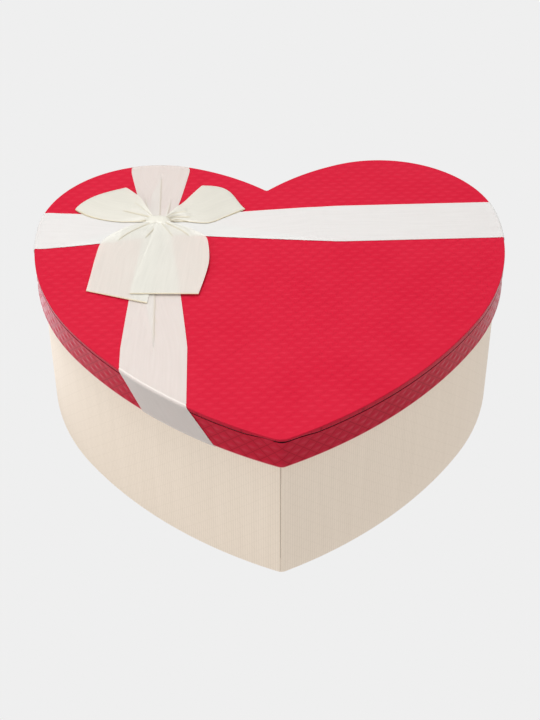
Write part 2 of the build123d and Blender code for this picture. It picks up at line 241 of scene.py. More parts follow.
@dataclass(frozen=True)
class EmbossedPaper:
    """Coated red cover paper, pressed between engraved rollers. Sizes and levels in millimetres."""

    name: str
    ground: str
    # The second colour is a painted highlight for the tops of the pressed bumps
    bump_highlight: str
    roughness: float = 0.34
    specular: float = 0.05
    sheen: float = 0.0
    sheen_roughness: float = 0.25
    sheen_tint: str = "#ffe8ee"
    pattern: EmbossPattern = EmbossPattern()
    bump_highlight_tone: float = 0.3
    # The grooves' colour is painted shade, standing in for the shade down in the pressed grooves
    groove: str = "#5c0818"
    groove_shade_tone: float = 0.0
    cloud: float = 25.0
    cloud_tones: tuple[float, float] = (0.1, 0.4)
    tooth: float = 0.6
    tooth_strength: float = 0.25
    tooth_depth: float = 0.05
    detail: float = 3.0
    pale_edge: str = "#f0b8b4"
    pale_edge_share: float = 0.85
    pale_edge_levels: tuple[float, float] = (88.55, 89.2)

    def material(self) -> bpy.types.Material:
        """Satin red that pales at grazing angles, with painted highlights on the pressed bumps, painted shade
        in the grooves and a paler band along the rim's folded bottom edge.

        Returns:
            The new material.
        """
        material, tree = start_material(self.name)
        spot = add_node(tree, "TexCoord", {})["Object"]
        pressed = add_node(tree, "Attribute", {}, attribute_name="emboss")["Fac"]
        cloud, tooth = (
            add_node(tree, "TexNoise", {"Vector": spot, "Scale": 1 / (size * MM), "Detail": self.detail})[0]
            for size in (self.cloud, self.tooth)
        )
        low, high = self.cloud_tones
        ink = add_node(tree, "MapRange", {0: cloud, 3: low, 4: high})[0]
        # Painted highlight: the pressed bumps are mixed towards the lighter colour that stands for light on
        # their tops
        tone = add_node(tree, "Math", {0: pressed, 1: self.bump_highlight_tone, 2: ink}, operation="MULTIPLY_ADD")[0]
        reds = {0: tone, 6: linear(self.ground), 7: linear(self.bump_highlight)}
        ink_and_highlight = add_node(tree, "Mix", reds, data_type="RGBA")[2]
        # The grooves are darkened with painted shade, and the folded bottom edge of the rim is drawn paler
        lined = self.pattern.lined(tree, ink_and_highlight, self.groove, self.groove_shade_tone)
        level = add_node(tree, "SeparateXYZ", {0: spot})[2]
        edge, clear = (place * MM for place in self.pale_edge_levels)
        paling = add_node(tree, "MapRange", {0: level, 1: edge, 2: clear, 3: self.pale_edge_share, 4: 0.0})[0]
        pale_edge = add_node(tree, "Mix", {0: paling, 6: lined, 7: linear(self.pale_edge)}, data_type="RGBA")[2]
        grain = {"Height": tooth, "Strength": self.tooth_strength, "Distance": self.tooth_depth * MM}
        sockets = {
            "Base Color": pale_edge,
            "Normal": add_node(tree, "Bump", grain)[0],
            "Roughness": self.roughness,
            "Specular IOR Level": self.specular,
            "Sheen Weight": self.sheen,
            "Sheen Roughness": self.sheen_roughness,
            "Sheen Tint": linear(self.sheen_tint),
        }
        end_material(tree, "BsdfPrincipled", sockets)
        return material


@dataclass(frozen=True)
class FibrePaper:
    """Paper or board pressed from fibres: lining, greyboard, gummed tape. Sizes in millimetres."""

    name: str
    low: str
    high: str
    roughness: float
    grain: float
    fleck: float
    bump: float
    specular: float = 0.3
    drawn: float = 0.35
    fibre_detail: float = 4.0
    fibre_roughness: float = 0.65
    fleck_range: tuple[float, float] = (0.35, 0.7)
    cloud: float = 30.0
    cloud_detail: float = 2.0
    depth: float = 0.1

    def material(self) -> bpy.types.Material:
        """Matt sheet with soft cloudy tone, short fibre flecks and a fine tooth.

        Returns:
            The new material.
        """
        material, tree = start_material(self.name)
        spot = add_node(tree, "TexCoord", {})["Object"]
        # Fibres lie longer one way than the other, as the sheet was drawn on the wire
        long = add_node(tree, "Mapping", {"Vector": spot, "Scale": (1.0, 1.0, self.drawn)})[0]
        strands = {"Vector": long, "Scale": 1 / (self.grain * MM), "Detail": self.fibre_detail}
        fibre = add_node(tree, "TexNoise", {**strands, "Roughness": self.fibre_roughness})[0]
        clouds = {"Vector": spot, "Scale": 1 / (self.cloud * MM), "Detail": self.cloud_detail}
        cloud = add_node(tree, "TexNoise", clouds)[0]
        low, high = self.fleck_range
        flecks = add_node(tree, "MapRange", {0: fibre, 1: low, 2: high, 3: 1.0 - self.fleck, 4: 1.0})[0]
        tone = add_node(tree, "Math", {0: flecks, 1: cloud}, operation="MULTIPLY")[0]
        tones = {0: tone, 6: linear(self.low), 7: linear(self.high)}
        tooth = {"Height": fibre, "Strength": self.bump, "Distance": self.depth * MM}
        sockets = {
            "Base Color": add_node(tree, "Mix", tones, data_type="RGBA")[2],
            "Normal": add_node(tree, "Bump", tooth)[0],
            "Roughness": self.roughness,
            "Specular IOR Level": self.specular,
        }
        end_material(tree, "BsdfPrincipled", sockets)
        return material


@dataclass(frozen=True)
class RibbedPaper:
    """Cream cover paper with ribs pressed along its height. Sizes in millimetres."""

    name: str = "cream_ribbed_cover_paper"
    valley: str = "#efdfcc"
    crest: str = "#fdeddb"
    roughness: float = 0.62
    specular: float = 0.25
    rib: float = 1.5
    rib_tone: float = 0.25
    streak: float = 4.5
    streak_pace: float = 0.05
    streak_detail: float = 2.0
    streak_tones: tuple[float, float] = (0.18, 0.82)
    pattern: EmbossPattern = EmbossPattern(line_half_width=0.3)
    # Colour of the painted shade in the grid's lines
    groove: str = "#b4a084"
    groove_shade_tone: float = 0.09
    tooth: float = 0.8
    tooth_detail: float = 3.0
    tooth_share: float = 0.5
    bump: float = 0.2
    depth: float = 0.1

    def material(self) -> bpy.types.Material:
        """Matt cream with thin upright shade lines between its ribs and a soft fibre tooth.

        Returns:
            The new material.
        """
        material, tree = start_material(self.name)
        place = add_node(tree, "UVMap", {}, uv_map="wrap")[0]
        round_wall = add_node(tree, "SeparateXYZ", {0: place})[0]
        # Real ribs are under 1 mm apart; they are drawn at 1.5 mm so that they show
        turn = add_node(tree, "Math", {0: round_wall, 1: math.tau / (self.rib * MM)}, operation="MULTIPLY")[0]
        wave = add_node(tree, "Math", {0: turn}, operation="COSINE")[0]
        # Streaks a few ribs wide that run the height of the wall
        long = add_node(tree, "Mapping", {"Vector": place, "Scale": (1.0, self.streak_pace, 1.0)})[0]
        streaks = {"Vector": long, "Scale": 1 / (self.streak * MM), "Detail": self.streak_detail}
        streak = add_node(tree, "TexNoise", streaks)[0]
        low, high = self.streak_tones
        even = add_node(tree, "MapRange", {0: streak, 3: low, 4: high})[0]
        rise = add_node(tree, "Math", {0: wave, 1: self.rib_tone, 2: even}, operation="MULTIPLY_ADD")[0]
        creams = {0: rise, 6: linear(self.valley), 7: linear(self.crest)}
        ribbed = add_node(tree, "Mix", creams, data_type="RGBA")[2]
        # The same rollers press a grid into this paper, so faint that only its lines show; they are drawn
        # darker, painted shade in the pressed lines
        lined = self.pattern.lined(tree, ribbed, self.groove, self.groove_shade_tone)
        spot = add_node(tree, "TexCoord", {})["Object"]
        grain = {"Vector": spot, "Scale": 1 / (self.tooth * MM), "Detail": self.tooth_detail}
        tooth = add_node(tree, "TexNoise", grain)[0]
        height = add_node(tree, "Math", {0: tooth, 1: self.tooth_share, 2: rise}, operation="MULTIPLY_ADD")[0]
        relief = {"Height": height, "Strength": self.bump, "Distance": self.depth * MM}
        sockets = {
            "Base Color": lined,
            "Normal": add_node(tree, "Bump", relief)[0],
            "Roughness": self.roughness,
            "Specular IOR Level": self.specular,
        }
        end_material(tree, "BsdfPrincipled", sockets)
        return material


@dataclass(frozen=True)
class SatinRibbon:
    """Thin woven satin ribbon, a little see-through. Sizes in millimetres."""

    name: str
    shade: str
    light: str
    alpha: float
    # The gathered colour is the painted warm shade of folds, edges and tucks
    gathered: str
    gather_reach: float
    gather_gleam: float = 0.3
    # The gleam colour is a painted highlight
    gleam: str = "#fffdf6"
    thread: float = 0.5
    thread_share: float = 0.4
    streak: float = 1.5
    streak_pace: float = 0.06
    streak_detail: float = 3.0
    roughness: float = 0.36
    specular: float = 0.42
    sheen: float = 0.1
    bump: float = 0.1
    depth: float = 0.1

    def material(self) -> bpy.types.Material:
        """Soft sheen and lengthwise threads; what lies below shows through, with painted warm shade in folds
        and painted highlights on bends and near the knot.

        Returns:
            The new material.
        """
        material, tree = start_material(self.name)
        place = add_node(tree, "UVMap", {}, uv_map="wrap")[0]
        ways = add_node(tree, "SeparateXYZ", {0: place})
        # Real threads are about 0.1 mm apart; they are drawn at 0.5 mm so that they show
        turn = add_node(tree, "Math", {0: ways[1], 1: math.tau / (self.thread * MM)}, operation="MULTIPLY")[0]
        warp = add_node(tree, "Math", {0: turn}, operation="SINE")[0]
        long = add_node(tree, "Mapping", {"Vector": place, "Scale": (self.streak_pace, 1.0, 1.0)})[0]
        streaks = {"Vector": long, "Scale": 1 / (self.streak * MM), "Detail": self.streak_detail}
        streak = add_node(tree, "TexNoise", streaks)[0]
        whites = {0: streak, 6: linear(self.shade), 7: linear(self.light)}
        woven = add_node(tree, "Mix", whites, data_type="RGBA")[2]
        # Painted warm shade in folds, edges and tucks: light that has passed through several layers there
        # comes out yellower
        fold = add_node(tree, "Attribute", {}, attribute_name="fold")["Fac"]
        fold_shaded = add_node(tree, "Mix", {0: fold, 6: woven, 7: linear(self.gathered)}, data_type="RGBA")[2]
        # Painted highlights: a bend over an edge, marked below zero, and the gathers near the knot are mixed
        # towards the gleam colour
        fade = {0: ways[0], 1: 0.0, 2: self.gather_reach * MM, 3: self.gather_gleam, 4: 0.0}
        near = add_node(tree, "MapRange", fade, interpolation_type="SMOOTHSTEP")[0]
        bent = {0: fold, 1: -1.0, 2: near}
        bend = add_node(tree, "Math", bent, operation="MULTIPLY_ADD", use_clamp=True)[0]
        lit = add_node(tree, "Mix", {0: bend, 6: fold_shaded, 7: linear(self.gleam)}, data_type="RGBA")[2]
        threads = {0: warp, 1: self.thread_share, 2: streak}
        height = add_node(tree, "Math", threads, operation="MULTIPLY_ADD")[0]
        relief = {"Height": height, "Strength": self.bump, "Distance": self.depth * MM}
        sockets = {
            "Base Color": lit,
            "Normal": add_node(tree, "Bump", relief)[0],
            "Roughness": self.roughness,
            "Specular IOR Level": self.specular,
            "Alpha": self.alpha,
            "Sheen Weight": self.sheen,
        }
        end_material(tree, "BsdfPrincipled", sockets)
        return material


TOP_RED = EmbossedPaper("red_embossed_coated_paper", "#bc0e2d", "#d13147")
# A darker copy of the top's red: its deeper tone is painted shade, on the rim and on the panel's turned edge
SHADED_RIM_RED = EmbossedPaper(
    "red_embossed_coated_paper_rim_painted_shade", "#b60b28", "#c9364c",
    roughness=0.3, specular=0.06, sheen=0.42, groove_shade_tone=0.5,
)
CREAM = RibbedPaper()
LINING = FibrePaper("white_lining_paper", "#e9e6df", "#f6f4ee", 0.7, 0.9, 0.25, 0.12)
UNDERSIDE = FibrePaper("cream_bottom_paper", "#e6dcc9", "#f0e8d8", 0.7, 0.9, 0.25, 0.12)
GREYBOARD = FibrePaper("greyboard_pulp", "#7d776d", "#a59d90", 0.9, 0.7, 0.6, 0.4, 0.2)
GUMMED = FibrePaper("gummed_kraft_tape", "#a98557", "#c6a375", 0.75, 0.6, 0.45, 0.2)
# Painted shade in the seam between panel and rim: a near-black red on the faces of its groove
SEAM_SHADE = FibrePaper("red_paper_seam_painted_shade", "#2a060c", "#43101a", 0.9, 0.8, 0.3, 0.1, 0.05)
# Painted shade in the wrap's seam groove, a dark brown
SEAM_GROOVE_SHADE = FibrePaper("cream_paper_seam_groove_painted_shade", "#6b513b", "#8a6d52", 0.8, 0.8, 0.3, 0.2)
FILM = FibrePaper("adhesive_tape_film", "#d9d6cc", "#ece9df", 0.35, 1.6, 0.3, 0.08, 0.45)
STRAP_SATIN = SatinRibbon(
    "white_satin_ribbon", "#e1dad3", "#ede7e1", 0.6, "#e3d5b8", 26.0, roughness=0.3, specular=0.5,
)
# A whiter copy of the white satin: its colour is painted sheen; its higher alpha stands for the hem doubled
# under it
CROSS_SATIN = SatinRibbon("white_satin_ribbon_doubled_painted_sheen", "#e1e0dd", "#eeedeb", 0.68, "#e3d5b8", 26.0)
BOW_SATIN = SatinRibbon("ivory_satin_ribbon", "#e0ded5", "#efede4", 0.56, "#ead9ae", 18.0)
# Darker copies of the ivory satin: the loops' and the knot's deeper colours are painted shade; their higher
# alphas stand for layers lying on each other
LOOP_SATIN = SatinRibbon("ivory_satin_ribbon_doubled_painted_shade", "#d7d4c9", "#e4e1d6", 0.74, "#ead9ae", 18.0)
KNOT_SATIN = SatinRibbon("ivory_satin_ribbon_knotted_painted_shade", "#dddace", "#e4e1d5", 0.85, "#ecd9aa", 3.0)


# Heart outline


@dataclass(frozen=True)
class Arc:
    """One arc of the heart's right half, walked from first to last angle. Radians."""

    centre: tuple[float, float]
    radius: float
    first: float
    last: float
    outward: float = 1.0

    @property
    def length(self) -> float:
        """The arc's length."""
        return self.radius * abs(self.last - self.first)


@dataclass(frozen=True)
class HeartOutline:
    """The lid's plan: tangent arcs from the tip round to the cleft, mirrored. Millimetres and degrees."""

    corner: float
    half_width: float = 145.0
    radius_shares: tuple[float, float, float, float] = (1.92, 1.07, 0.50, 0.94)
    end_angles: tuple[float, float, float] = (-34.9, 6.5, 109.1)
    rim_tip_radius: float = 5.0
    crease_radius: float = 1.5
    inset_step: float = 0.25
    edge_step: float = 0.2

    def arcs(self) -> list[Arc]:
        """The arcs of the right half, from the tip to the cleft.

        Returns:
            Six arcs: tip, flank, shoulder, lobe, cleft and the small crease in the cleft.
        """
        flank_r, shoulder_r, lobe_r, cleft_r = (share * self.half_width for share in self.radius_shares)
        flank_end, shoulder_end, lobe_end = (math.radians(angle) for angle in self.end_angles)

        def beyond(centre: tuple[float, float], reach: float, angle: float) -> tuple[float, float]:
            """The point at this reach and angle from a centre."""
            return (centre[0] + reach * math.cos(angle), centre[1] + reach * math.sin(angle))

        shoulder = (self.half_width - shoulder_r, 0.0)
        flank = beyond(shoulder, shoulder_r - flank_r, flank_end)
        lobe = beyond(shoulder, shoulder_r - lobe_r, shoulder_end)
        cleft = beyond(lobe, lobe_r - cleft_r, lobe_end)
        tip_r = self.rim_tip_radius
        tip_y = flank[1] - math.sqrt((flank_r - tip_r) ** 2 - flank[0] ** 2) - tip_r
        middle = (tip_y + lobe[1] + lobe_r) / 2
        flank, shoulder, lobe, cleft = ((x, y - middle) for x, y in (flank, shoulder, lobe, cleft))
        tip = (0.0, flank[1] - math.sqrt((flank_r - self.corner) ** 2 - flank[0] ** 2))
        tip_end = math.atan2(tip[1] - flank[1], -flank[0])
        crease = (0.0, cleft[1] + math.sqrt((cleft_r + self.crease_radius) ** 2 - cleft[0] ** 2))
        crease_start = math.atan2(crease[1] - cleft[1], -cleft[0])
        return [
            Arc(tip, self.corner, -math.pi / 2, tip_end),
            Arc(flank, flank_r, tip_end, flank_end),
            Arc(shoulder, shoulder_r, flank_end, shoulder_end),
            Arc(lobe, lobe_r, shoulder_end, lobe_end),
            Arc(cleft, cleft_r, lobe_end, crease_start),
            Arc(crease, self.crease_radius, crease_start - math.pi, -math.pi / 2, -1.0),
        ]

    def length(self) -> float:
        """The whole outline's length."""
        return 2 * sum(arc.length for arc in self.arcs())

    def at(self, along: np.ndarray) -> tuple[np.ndarray, np.ndarray]:
        """Points on the outline.

        Args:
            along: distances from the tip, counterclockwise from above.

        Returns:
            The points and the outward normals, each as rows of x and y.
        """
        whole = self.length()
        along = np.mod(np.asarray(along, float), whole)
        mirrored = along > whole / 2
        walk = np.where(mirrored, whole - along, along)
        points = np.zeros((len(walk), 2))
        normals = np.zeros((len(walk), 2))
        start = 0.0
        for arc in self.arcs():
            here = (walk >= start - 1e-9) & (walk <= start + arc.length + 1e-9)
            turn = math.copysign(1.0, arc.last - arc.first)
            angle = arc.first + turn * (walk[here] - start) / arc.radius
            away = np.stack([np.cos(angle), np.sin(angle)], 1)
            points[here] = np.array(arc.centre) + arc.radius * away
            normals[here] = arc.outward * away
            start += arc.length
        points[mirrored, 0] *= -1
        normals[mirrored, 0] *= -1
        return points, normals

    def ring(self, along: np.ndarray, inset: Any, level: Any) -> np.ndarray:
        """A ring of points inside the outline.

        Args:
            along: the stations' distances from the tip.
            inset: how far in from the outline, one value or one for each station.
            level: the height, one value or one for each station.

        Returns:
            Rows of x, y and z.
        """
        points, normals = self.at(along)
        plan = points - np.asarray(inset).reshape(-1, 1) * normals
        return np.column_stack([plan, np.broadcast_to(level, len(plan))])

    def insets(self, points: np.ndarray) -> np.ndarray:
        """How far in from the outline each point lies, negative outside.

        Args:
            points: rows of x and y.

        Returns:
            One distance for each point.
        """
        rim, normals = self.at(np.arange(0.0, self.length(), self.inset_step))
        tree = KDTree(len(rim))
        for number, (x, y) in enumerate(rim):
            tree.insert((x, y, 0.0), number)
        tree.balance()
        nearest = np.array([tree.find((x, y, 0.0))[1] for x, y in points])
        return -np.einsum("ij,ij->i", points - rim[nearest], normals[nearest])

    def edge_along(self, starts: np.ndarray, direction: tuple[float, float]) -> np.ndarray:
        """Where straight threads on the lid meet its edge.

        Args:
            starts: rows of x and y, one for each thread.
            direction: the threads' unit direction.

        Returns:
            Each thread's distance along the outline from the tip.
        """
        walk = np.arange(0.0, self.length(), self.edge_step)
        rim, _ = self.at(walk)
        ahead = np.array(direction)
        side = np.array([-ahead[1], ahead[0]])
        found = []
        for start in starts:
            across, reach = (rim - start) @ side, (rim - start) @ ahead
            crossing = (np.sign(across) != np.sign(np.roll(across, -1))) & (reach > 0)
            picked = max(np.flatnonzero(crossing), key=lambda i: reach[i])
            step = across[picked] / (across[picked] - across[(picked + 1) % len(across)])
            found.append(walk[picked] + self.edge_step * step)
        return np.array(found)


# Mesh helpers


def deselect() -> None:
    """Deselects every object."""
    bpy.ops.object.select_all(action="DESELECT")


def pick(pieces: Sequence[bpy.types.Object]) -> None:
    """Selects these objects alone, and makes the first one active.

    Args:
        pieces: the objects.
    """
    deselect()
    for piece in pieces:
        piece.select_set(True)
    bpy.context.view_layer.objects.active = pieces[0]


def enter_edit(piece: bpy.types.Object) -> None:
    """Opens one piece in edit mode, picking by vertices, with nothing picked.

    Args:
        piece: the piece to edit.
    """
    pick([piece])
    bpy.ops.object.mode_set(mode="EDIT")
    bpy.ops.mesh.select_mode(type="VERT")
    bpy.ops.mesh.select_all(action="DESELECT")


def leave_edit() -> None:
    """Goes back to object mode."""
    bpy.ops.object.mode_set(mode="OBJECT")


def place_picked(piece: bpy.types.Object, ring: np.ndarray) -> None:
    """Moves the picked ring of a piece in edit mode onto its points, station by station.

    Args:
        piece: the piece being edited.
        ring: a point for each station.
    """
    shape = bmesh.from_edit_mesh(piece.data)
    station = shape.verts.layers.int["station"]
    for vertex in shape.verts:
        if vertex.select:
            vertex.co = ring[vertex[station]]
    bmesh.update_edit_mesh(piece.data)


def ring_of_edges(name: str, ring: np.ndarray) -> bpy.types.Object:
    """A circle primitive drawn onto a ring of points, its vertices numbered as stations.

    Args:
        name: the new object's name.
        ring: the points.

    Returns:
        The new object, in object mode.
    """
    deselect()
    bpy.ops.mesh.primitive_circle_add(vertices=len(ring))
    piece = bpy.context.object
    piece.name = piece.data.name = name
    station = piece.data.attributes.new("station", "INT", "POINT")
    station.data.foreach_set("value", np.arange(len(ring), dtype=np.int32))
    piece.data.vertices.foreach_set("co", ring.ravel())
    return piece


def extrude_rings(piece: bpy.types.Object, rings: Sequence[np.ndarray]) -> None:
    """Extrudes the picked edge ring of a piece in edit mode from ring to ring.

    Args:
        piece: the piece being edited.
        rings: the rings in order.
    """
    for ring in rings:
        bpy.ops.mesh.extrude_edges_indiv()
        place_picked(piece, ring)


def swept_paper(name: str, rings: Sequence[np.ndarray], merged: float = 0.001) -> bpy.types.Object:
    """A closed skin of paper, extruded from ring to ring and joined back onto its first ring.

    Args:
        name: the new object's name.
        rings: the section's rings in order.
        merged: vertices closer than this become one.

    Returns:
        The new object, in object mode, in millimetres.
    """
    piece = ring_of_edges(name, rings[0])
    enter_edit(piece)
    bpy.ops.mesh.select_all(action="SELECT")
    extrude_rings(piece, [*rings[1:], rings[0]])
    bpy.ops.mesh.select_all(action="SELECT")
    bpy.ops.mesh.remove_doubles(threshold=merged)
    bpy.ops.mesh.normals_make_consistent(inside=False)
    leave_edit()
    return piece


def lay_out(piece: bpy.types.Object, across: np.ndarray, along: np.ndarray, whole: float = 0.0) -> None:
    """Gives a piece its own pattern map, in metres.

    Args:
        piece: a mesh in millimetres.
        across: each vertex's distance across the pattern.
        along: each vertex's distance along it.
        whole: the length at which the first direction comes round again, or zero.
    """
    mesh = piece.data
    corners = np.zeros(len(mesh.loops), np.int32)
    mesh.loops.foreach_get("vertex_index", corners)
    u, v = across[corners].copy(), along[corners]
    if whole:
        for face in mesh.polygons:
            span = slice(face.loop_start, face.loop_start + face.loop_total)
            if u[span].max() - u[span].min() > whole / 2:
                u[span] = np.where(u[span] < whole / 2, u[span] + whole, u[span])
    layer = mesh.uv_layers.get("wrap") or mesh.uv_layers.new(name="wrap")
    layer.data.foreach_set("uv", (np.column_stack([u, v]) * MM).astype(np.float32).ravel())


def finish_piece(
    piece: bpy.types.Object, material: bpy.types.Material, body: Body, smooth: float,
) -> None:
    """Scales a piece to metres, dresses it and lets it ride.

    Args:
        piece: a mesh in millimetres at its place.
        material: its finish.
        body: the body that it rides on.
        smooth: edges flatter than this angle, in degrees, are shaded smooth.
    """
    piece.data.transform(Matrix.Scale(MM, 4))
    piece.data.materials.clear()
    piece.data.materials.append(material)
    if "station" in piece.data.attributes:
        piece.data.attributes.remove(piece.data.attributes["station"])
    pick([piece])
    bpy.ops.object.shade_smooth_by_angle(angle=math.radians(smooth))
    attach(piece, body.value)
    LOG.info("%s: %d faces on %s", piece.name, len(piece.data.polygons), body.value)


def mark(piece: bpy.types.Object, name: str, values: np.ndarray) -> None:
    """Gives each vertex of a piece a number that its material reads."""
    layer = piece.data.attributes.new(name, "FLOAT", "POINT")
    layer.data.foreach_set("value", np.ascontiguousarray(values, np.float32).ravel())


def coordinates(piece: bpy.types.Object) -> np.ndarray:
    """A piece's vertices as rows of x, y and z.

    Args:
        piece: a mesh.

    Returns:
        A row for each vertex.
    """
    flat = np.zeros(len(piece.data.vertices) * 3)
    piece.data.vertices.foreach_get("co", flat)
    return flat.reshape(-1, 3)


def stations_of(piece: bpy.types.Object) -> np.ndarray:
    """A piece's station numbers, one for each vertex.

    Args:
        piece: a mesh that was drawn from rings.

    Returns:
        A number for each vertex.
    """
    numbers = np.zeros(len(piece.data.vertices), np.int32)
    piece.data.attributes["station"].data.foreach_get("value", numbers)
    return numbers


def smoothstep(low: float, high: float, value: Any) -> np.ndarray:
    """A share that eases from 0 at low to 1 at high."""
    share = np.clip((np.asarray(value, float) - low) / (high - low), 0, 1)
    return share * share * (3 - 2 * share)


def plateau(levels: Sequence[float], value: Any) -> np.ndarray:
    """A share that eases up to 1 between the first two levels, and back to 0 between the last two."""
    rise, full, still, gone = levels
    return smoothstep(rise, full, value) * smoothstep(gone, still, value)


def woven_sheet(name: str, grid: np.ndarray, flat: np.ndarray, folds: np.ndarray) -> bpy.types.Object:
    """A thin piece of ribbon from its middle surface.

    Args:
        name: the new object's name.
        grid: points in rows along the ribbon and columns across it.
        flat: the same points' places on the flat ribbon, along and across.
        folds: how much painted warm shade each point takes, from 0 to 1, at folds, edges and tucks, and below
            0 how much painted highlight it takes on a bend.

    Returns:
        The new object, closed and in millimetres.
    """
    merged, narrowest = 0.02, 0.005
    rows, columns = grid.shape[:2]
    number = np.arange(rows * columns).reshape(rows, columns)
    corners = (number[:-1, :-1], number[1:, :-1], number[1:, 1:], number[:-1, 1:])
    mesh = bpy.data.meshes.new(name)
    mesh.from_pydata(grid.reshape(-1, 3).tolist(), [], np.stack(corners, -1).reshape(-1, 4).tolist())
    piece = bpy.data.objects.new(name, mesh)
    bpy.context.scene.collection.objects.link(piece)
    place = flat.reshape(-1, 2)
    lay_out(piece, place[:, 0], place[:, 1])
    mark(piece, "fold", folds)
    enter_edit(piece)
    bpy.ops.mesh.select_all(action="SELECT")
    bpy.ops.mesh.remove_doubles(threshold=merged)
    bpy.ops.mesh.dissolve_degenerate(threshold=narrowest)
    leave_edit()
    body = piece.modifiers.new("thickness", "SOLIDIFY")
    body.thickness = RIBBON_THICKNESS
    body.offset = 0.0
    bpy.ops.object.modifier_apply(modifier=body.name)
    return piece


# Lid papers


@dataclass
class LidCover:
    """The red paper of the lid: a sheet over the panel and a band round the rim.

    A row of two numbers is an inset and a level. A row of four has the tip's own inset and level behind them.
    """

    panel: HeartOutline = HeartOutline(11.0)
    rim: HeartOutline = HeartOutline(5.0)
    pattern: EmbossPattern = EmbossPattern()
    rim_pattern: EmbossPattern = EmbossPattern(steps=12, relief=0.26, bump_half_width=1.35, groove=0.1)
    grid_half: float = 146.0
    border: float = 1.9
    border_stations: int = 800
    flat_edge: float = 0.95
    emboss_fade: tuple[float, float] = (1.2, 3.6)
    edge_level: float = 108.25
    seam: float = 105.72
    seam_lean: float = 0.006
    seam_half: float = 0.3
    lean_levels: tuple[float, float, float, float] = (102.5, 105.0, 106.2, 107.0)
    tip_rise: float = 1.28
    tip_reach: tuple[float, float] = (10.0, 24.0)
    band_levels: tuple[float, float] = (89.2, 104.2)
    band_fade: tuple[float, float, float, float] = (88.8, 90.0, 103.4, 104.5)
    edge_rows: tuple[tuple[float, ...], ...] = (
        (0.45, 108.99), (0.22, 108.94), (0.07, 108.82), (0.0, 108.6), (0.0, 108.2),
        (0.0, 107.3, 0.0, 107.65), (0.0, 106.5, 0.02, 107.45), (0.03, 106.1, 0.08, 107.27),
        (0.1, 105.85, 0.16, 107.12), (0.18, 105.78, 0.26, 107.06), (0.26, 105.85, 0.38, 107.03),
        (0.3, 106.1, 0.6, 107.01), (0.3, 106.8, 1.0, 107.0), (0.5, 107.0, 1.6, 107.0),
        (3.0, 107.0), (9.0, 107.0), (9.0, 107.2), (3.0, 107.2), (0.5, 107.2), (0.32, 107.4),
        (0.32, 108.4), (0.5, 108.65),
    )
    fold_rows: tuple[tuple[float, ...], ...] = (
        (0.0, 104.6, 0.0, 105.8), (0.02, 105.05, 0.03, 106.2), (0.08, 105.4, 0.12, 106.58),
        (0.16, 105.62, 0.25, 106.86), (0.24, 105.64, 0.4, 106.97), (0.28, 105.58, 1.4, 106.95),
        (0.31, 105.45, 0.5, 106.92), (0.32, 104.9, 0.34, 106.6),
        (0.32, 97.0), (0.32, 88.8), (0.5, 88.52), (1.7, 88.52), (1.88, 88.8), (1.88, 93.0),
        (1.88, 97.2), (2.2, 97.2), (2.2, 93.0), (2.2, 88.9), (2.1, 88.45), (1.8, 88.22),
        (1.2, 88.2), (0.55, 88.22), (0.25, 88.32), (0.08, 88.5), (0.01, 88.8),
    )

    def build(self) -> None:
        """Builds and dresses both papers."""
        self.top_sheet()
        self.rim_band()

    def tip_share(self, distance: np.ndarray) -> np.ndarray:
        """How much of the tip's own section shows this far from the tip."""
        return 1 - smoothstep(*self.tip_reach, distance)

    def seam_ring(self, outline: HeartOutline, along: np.ndarray, row: Sequence[Any]) -> np.ndarray:
        """A ring of points; near the seam it follows the panel, which sits a little lower on the right.

        Args:
            outline: the panel's or the rim's outline.
            along: the stations' distances from the tip.
            row: inset and level, and where they differ at the tip the tip's own inset and level.

        Returns:
            Rows of x, y and z.
        """
        at_tip = self.tip_share(np.minimum(along, outline.length() - along))
        inset, level = (side + (tip - side) * at_tip for side, tip in zip(row[:2], row[-2:]))
        ring = outline.ring(along, inset, level)
        ring[:, 2] -= self.seam_lean * ring[:, 0] * plateau(self.lean_levels, level)
        return ring

    def above_seam(self, piece: bpy.types.Object) -> np.ndarray:
        """How far above the seam each face of a finished piece lies.

        Args:
            piece: the top sheet or the band, in metres.

        Returns:
            A height in millimetres for each face.
        """
        centres = np.zeros(len(piece.data.polygons) * 3, np.float32)
        piece.data.polygons.foreach_get("center", centres)
        x, y, z = centres.reshape(-1, 3).T / MM
        tip_y = self.rim.at(np.zeros(1))[0][0, 1]
        rise = self.tip_rise * self.tip_share(np.hypot(x, y - tip_y))
        return z - self.seam - rise + self.seam_lean * x

    def cut_grid(self) -> bpy.types.Object:
        """A grid in the pattern's steps, cut to the heart inside its border.

        Returns:
            The flat grid at the lid's top, with no stations.
        """
        step_x, step_y = (size / self.pattern.steps for size in (self.pattern.across, self.pattern.along))
        cells_x, cells_y = (2 * math.ceil(self.grid_half / step) for step in (step_x, step_y))
        deselect()
        bpy.ops.mesh.primitive_grid_add(x_subdivisions=cells_x, y_subdivisions=cells_y, size=1)
        sheet = bpy.context.object
        sheet.name = sheet.data.name = "lid_top_cover"
        sheet.scale = (cells_x * step_x, cells_y * step_y, 1.0)
        sheet.location = (0.0, 0.0, LID_TOP)
        bpy.ops.object.transform_apply()
        stations = sheet.data.attributes.new("station", "INT", "POINT")
        stations.data.foreach_set("value", np.full(len(sheet.data.vertices), -1, np.int32))
        outside = self.panel.insets(coordinates(sheet)[:, :2]) < self.border
        enter_edit(sheet)
        shape = bmesh.from_edit_mesh(sheet.data)
        for vertex, gone in zip(shape.verts, outside):
            vertex.select = bool(gone)
        bmesh.update_edit_mesh(sheet.data)
        bpy.ops.mesh.delete(type="VERT")
        bpy.ops.mesh.select_all(action="SELECT")
        bpy.ops.mesh.delete_loose(use_verts=True, use_edges=True, use_faces=False)
        leave_edit()
        return sheet

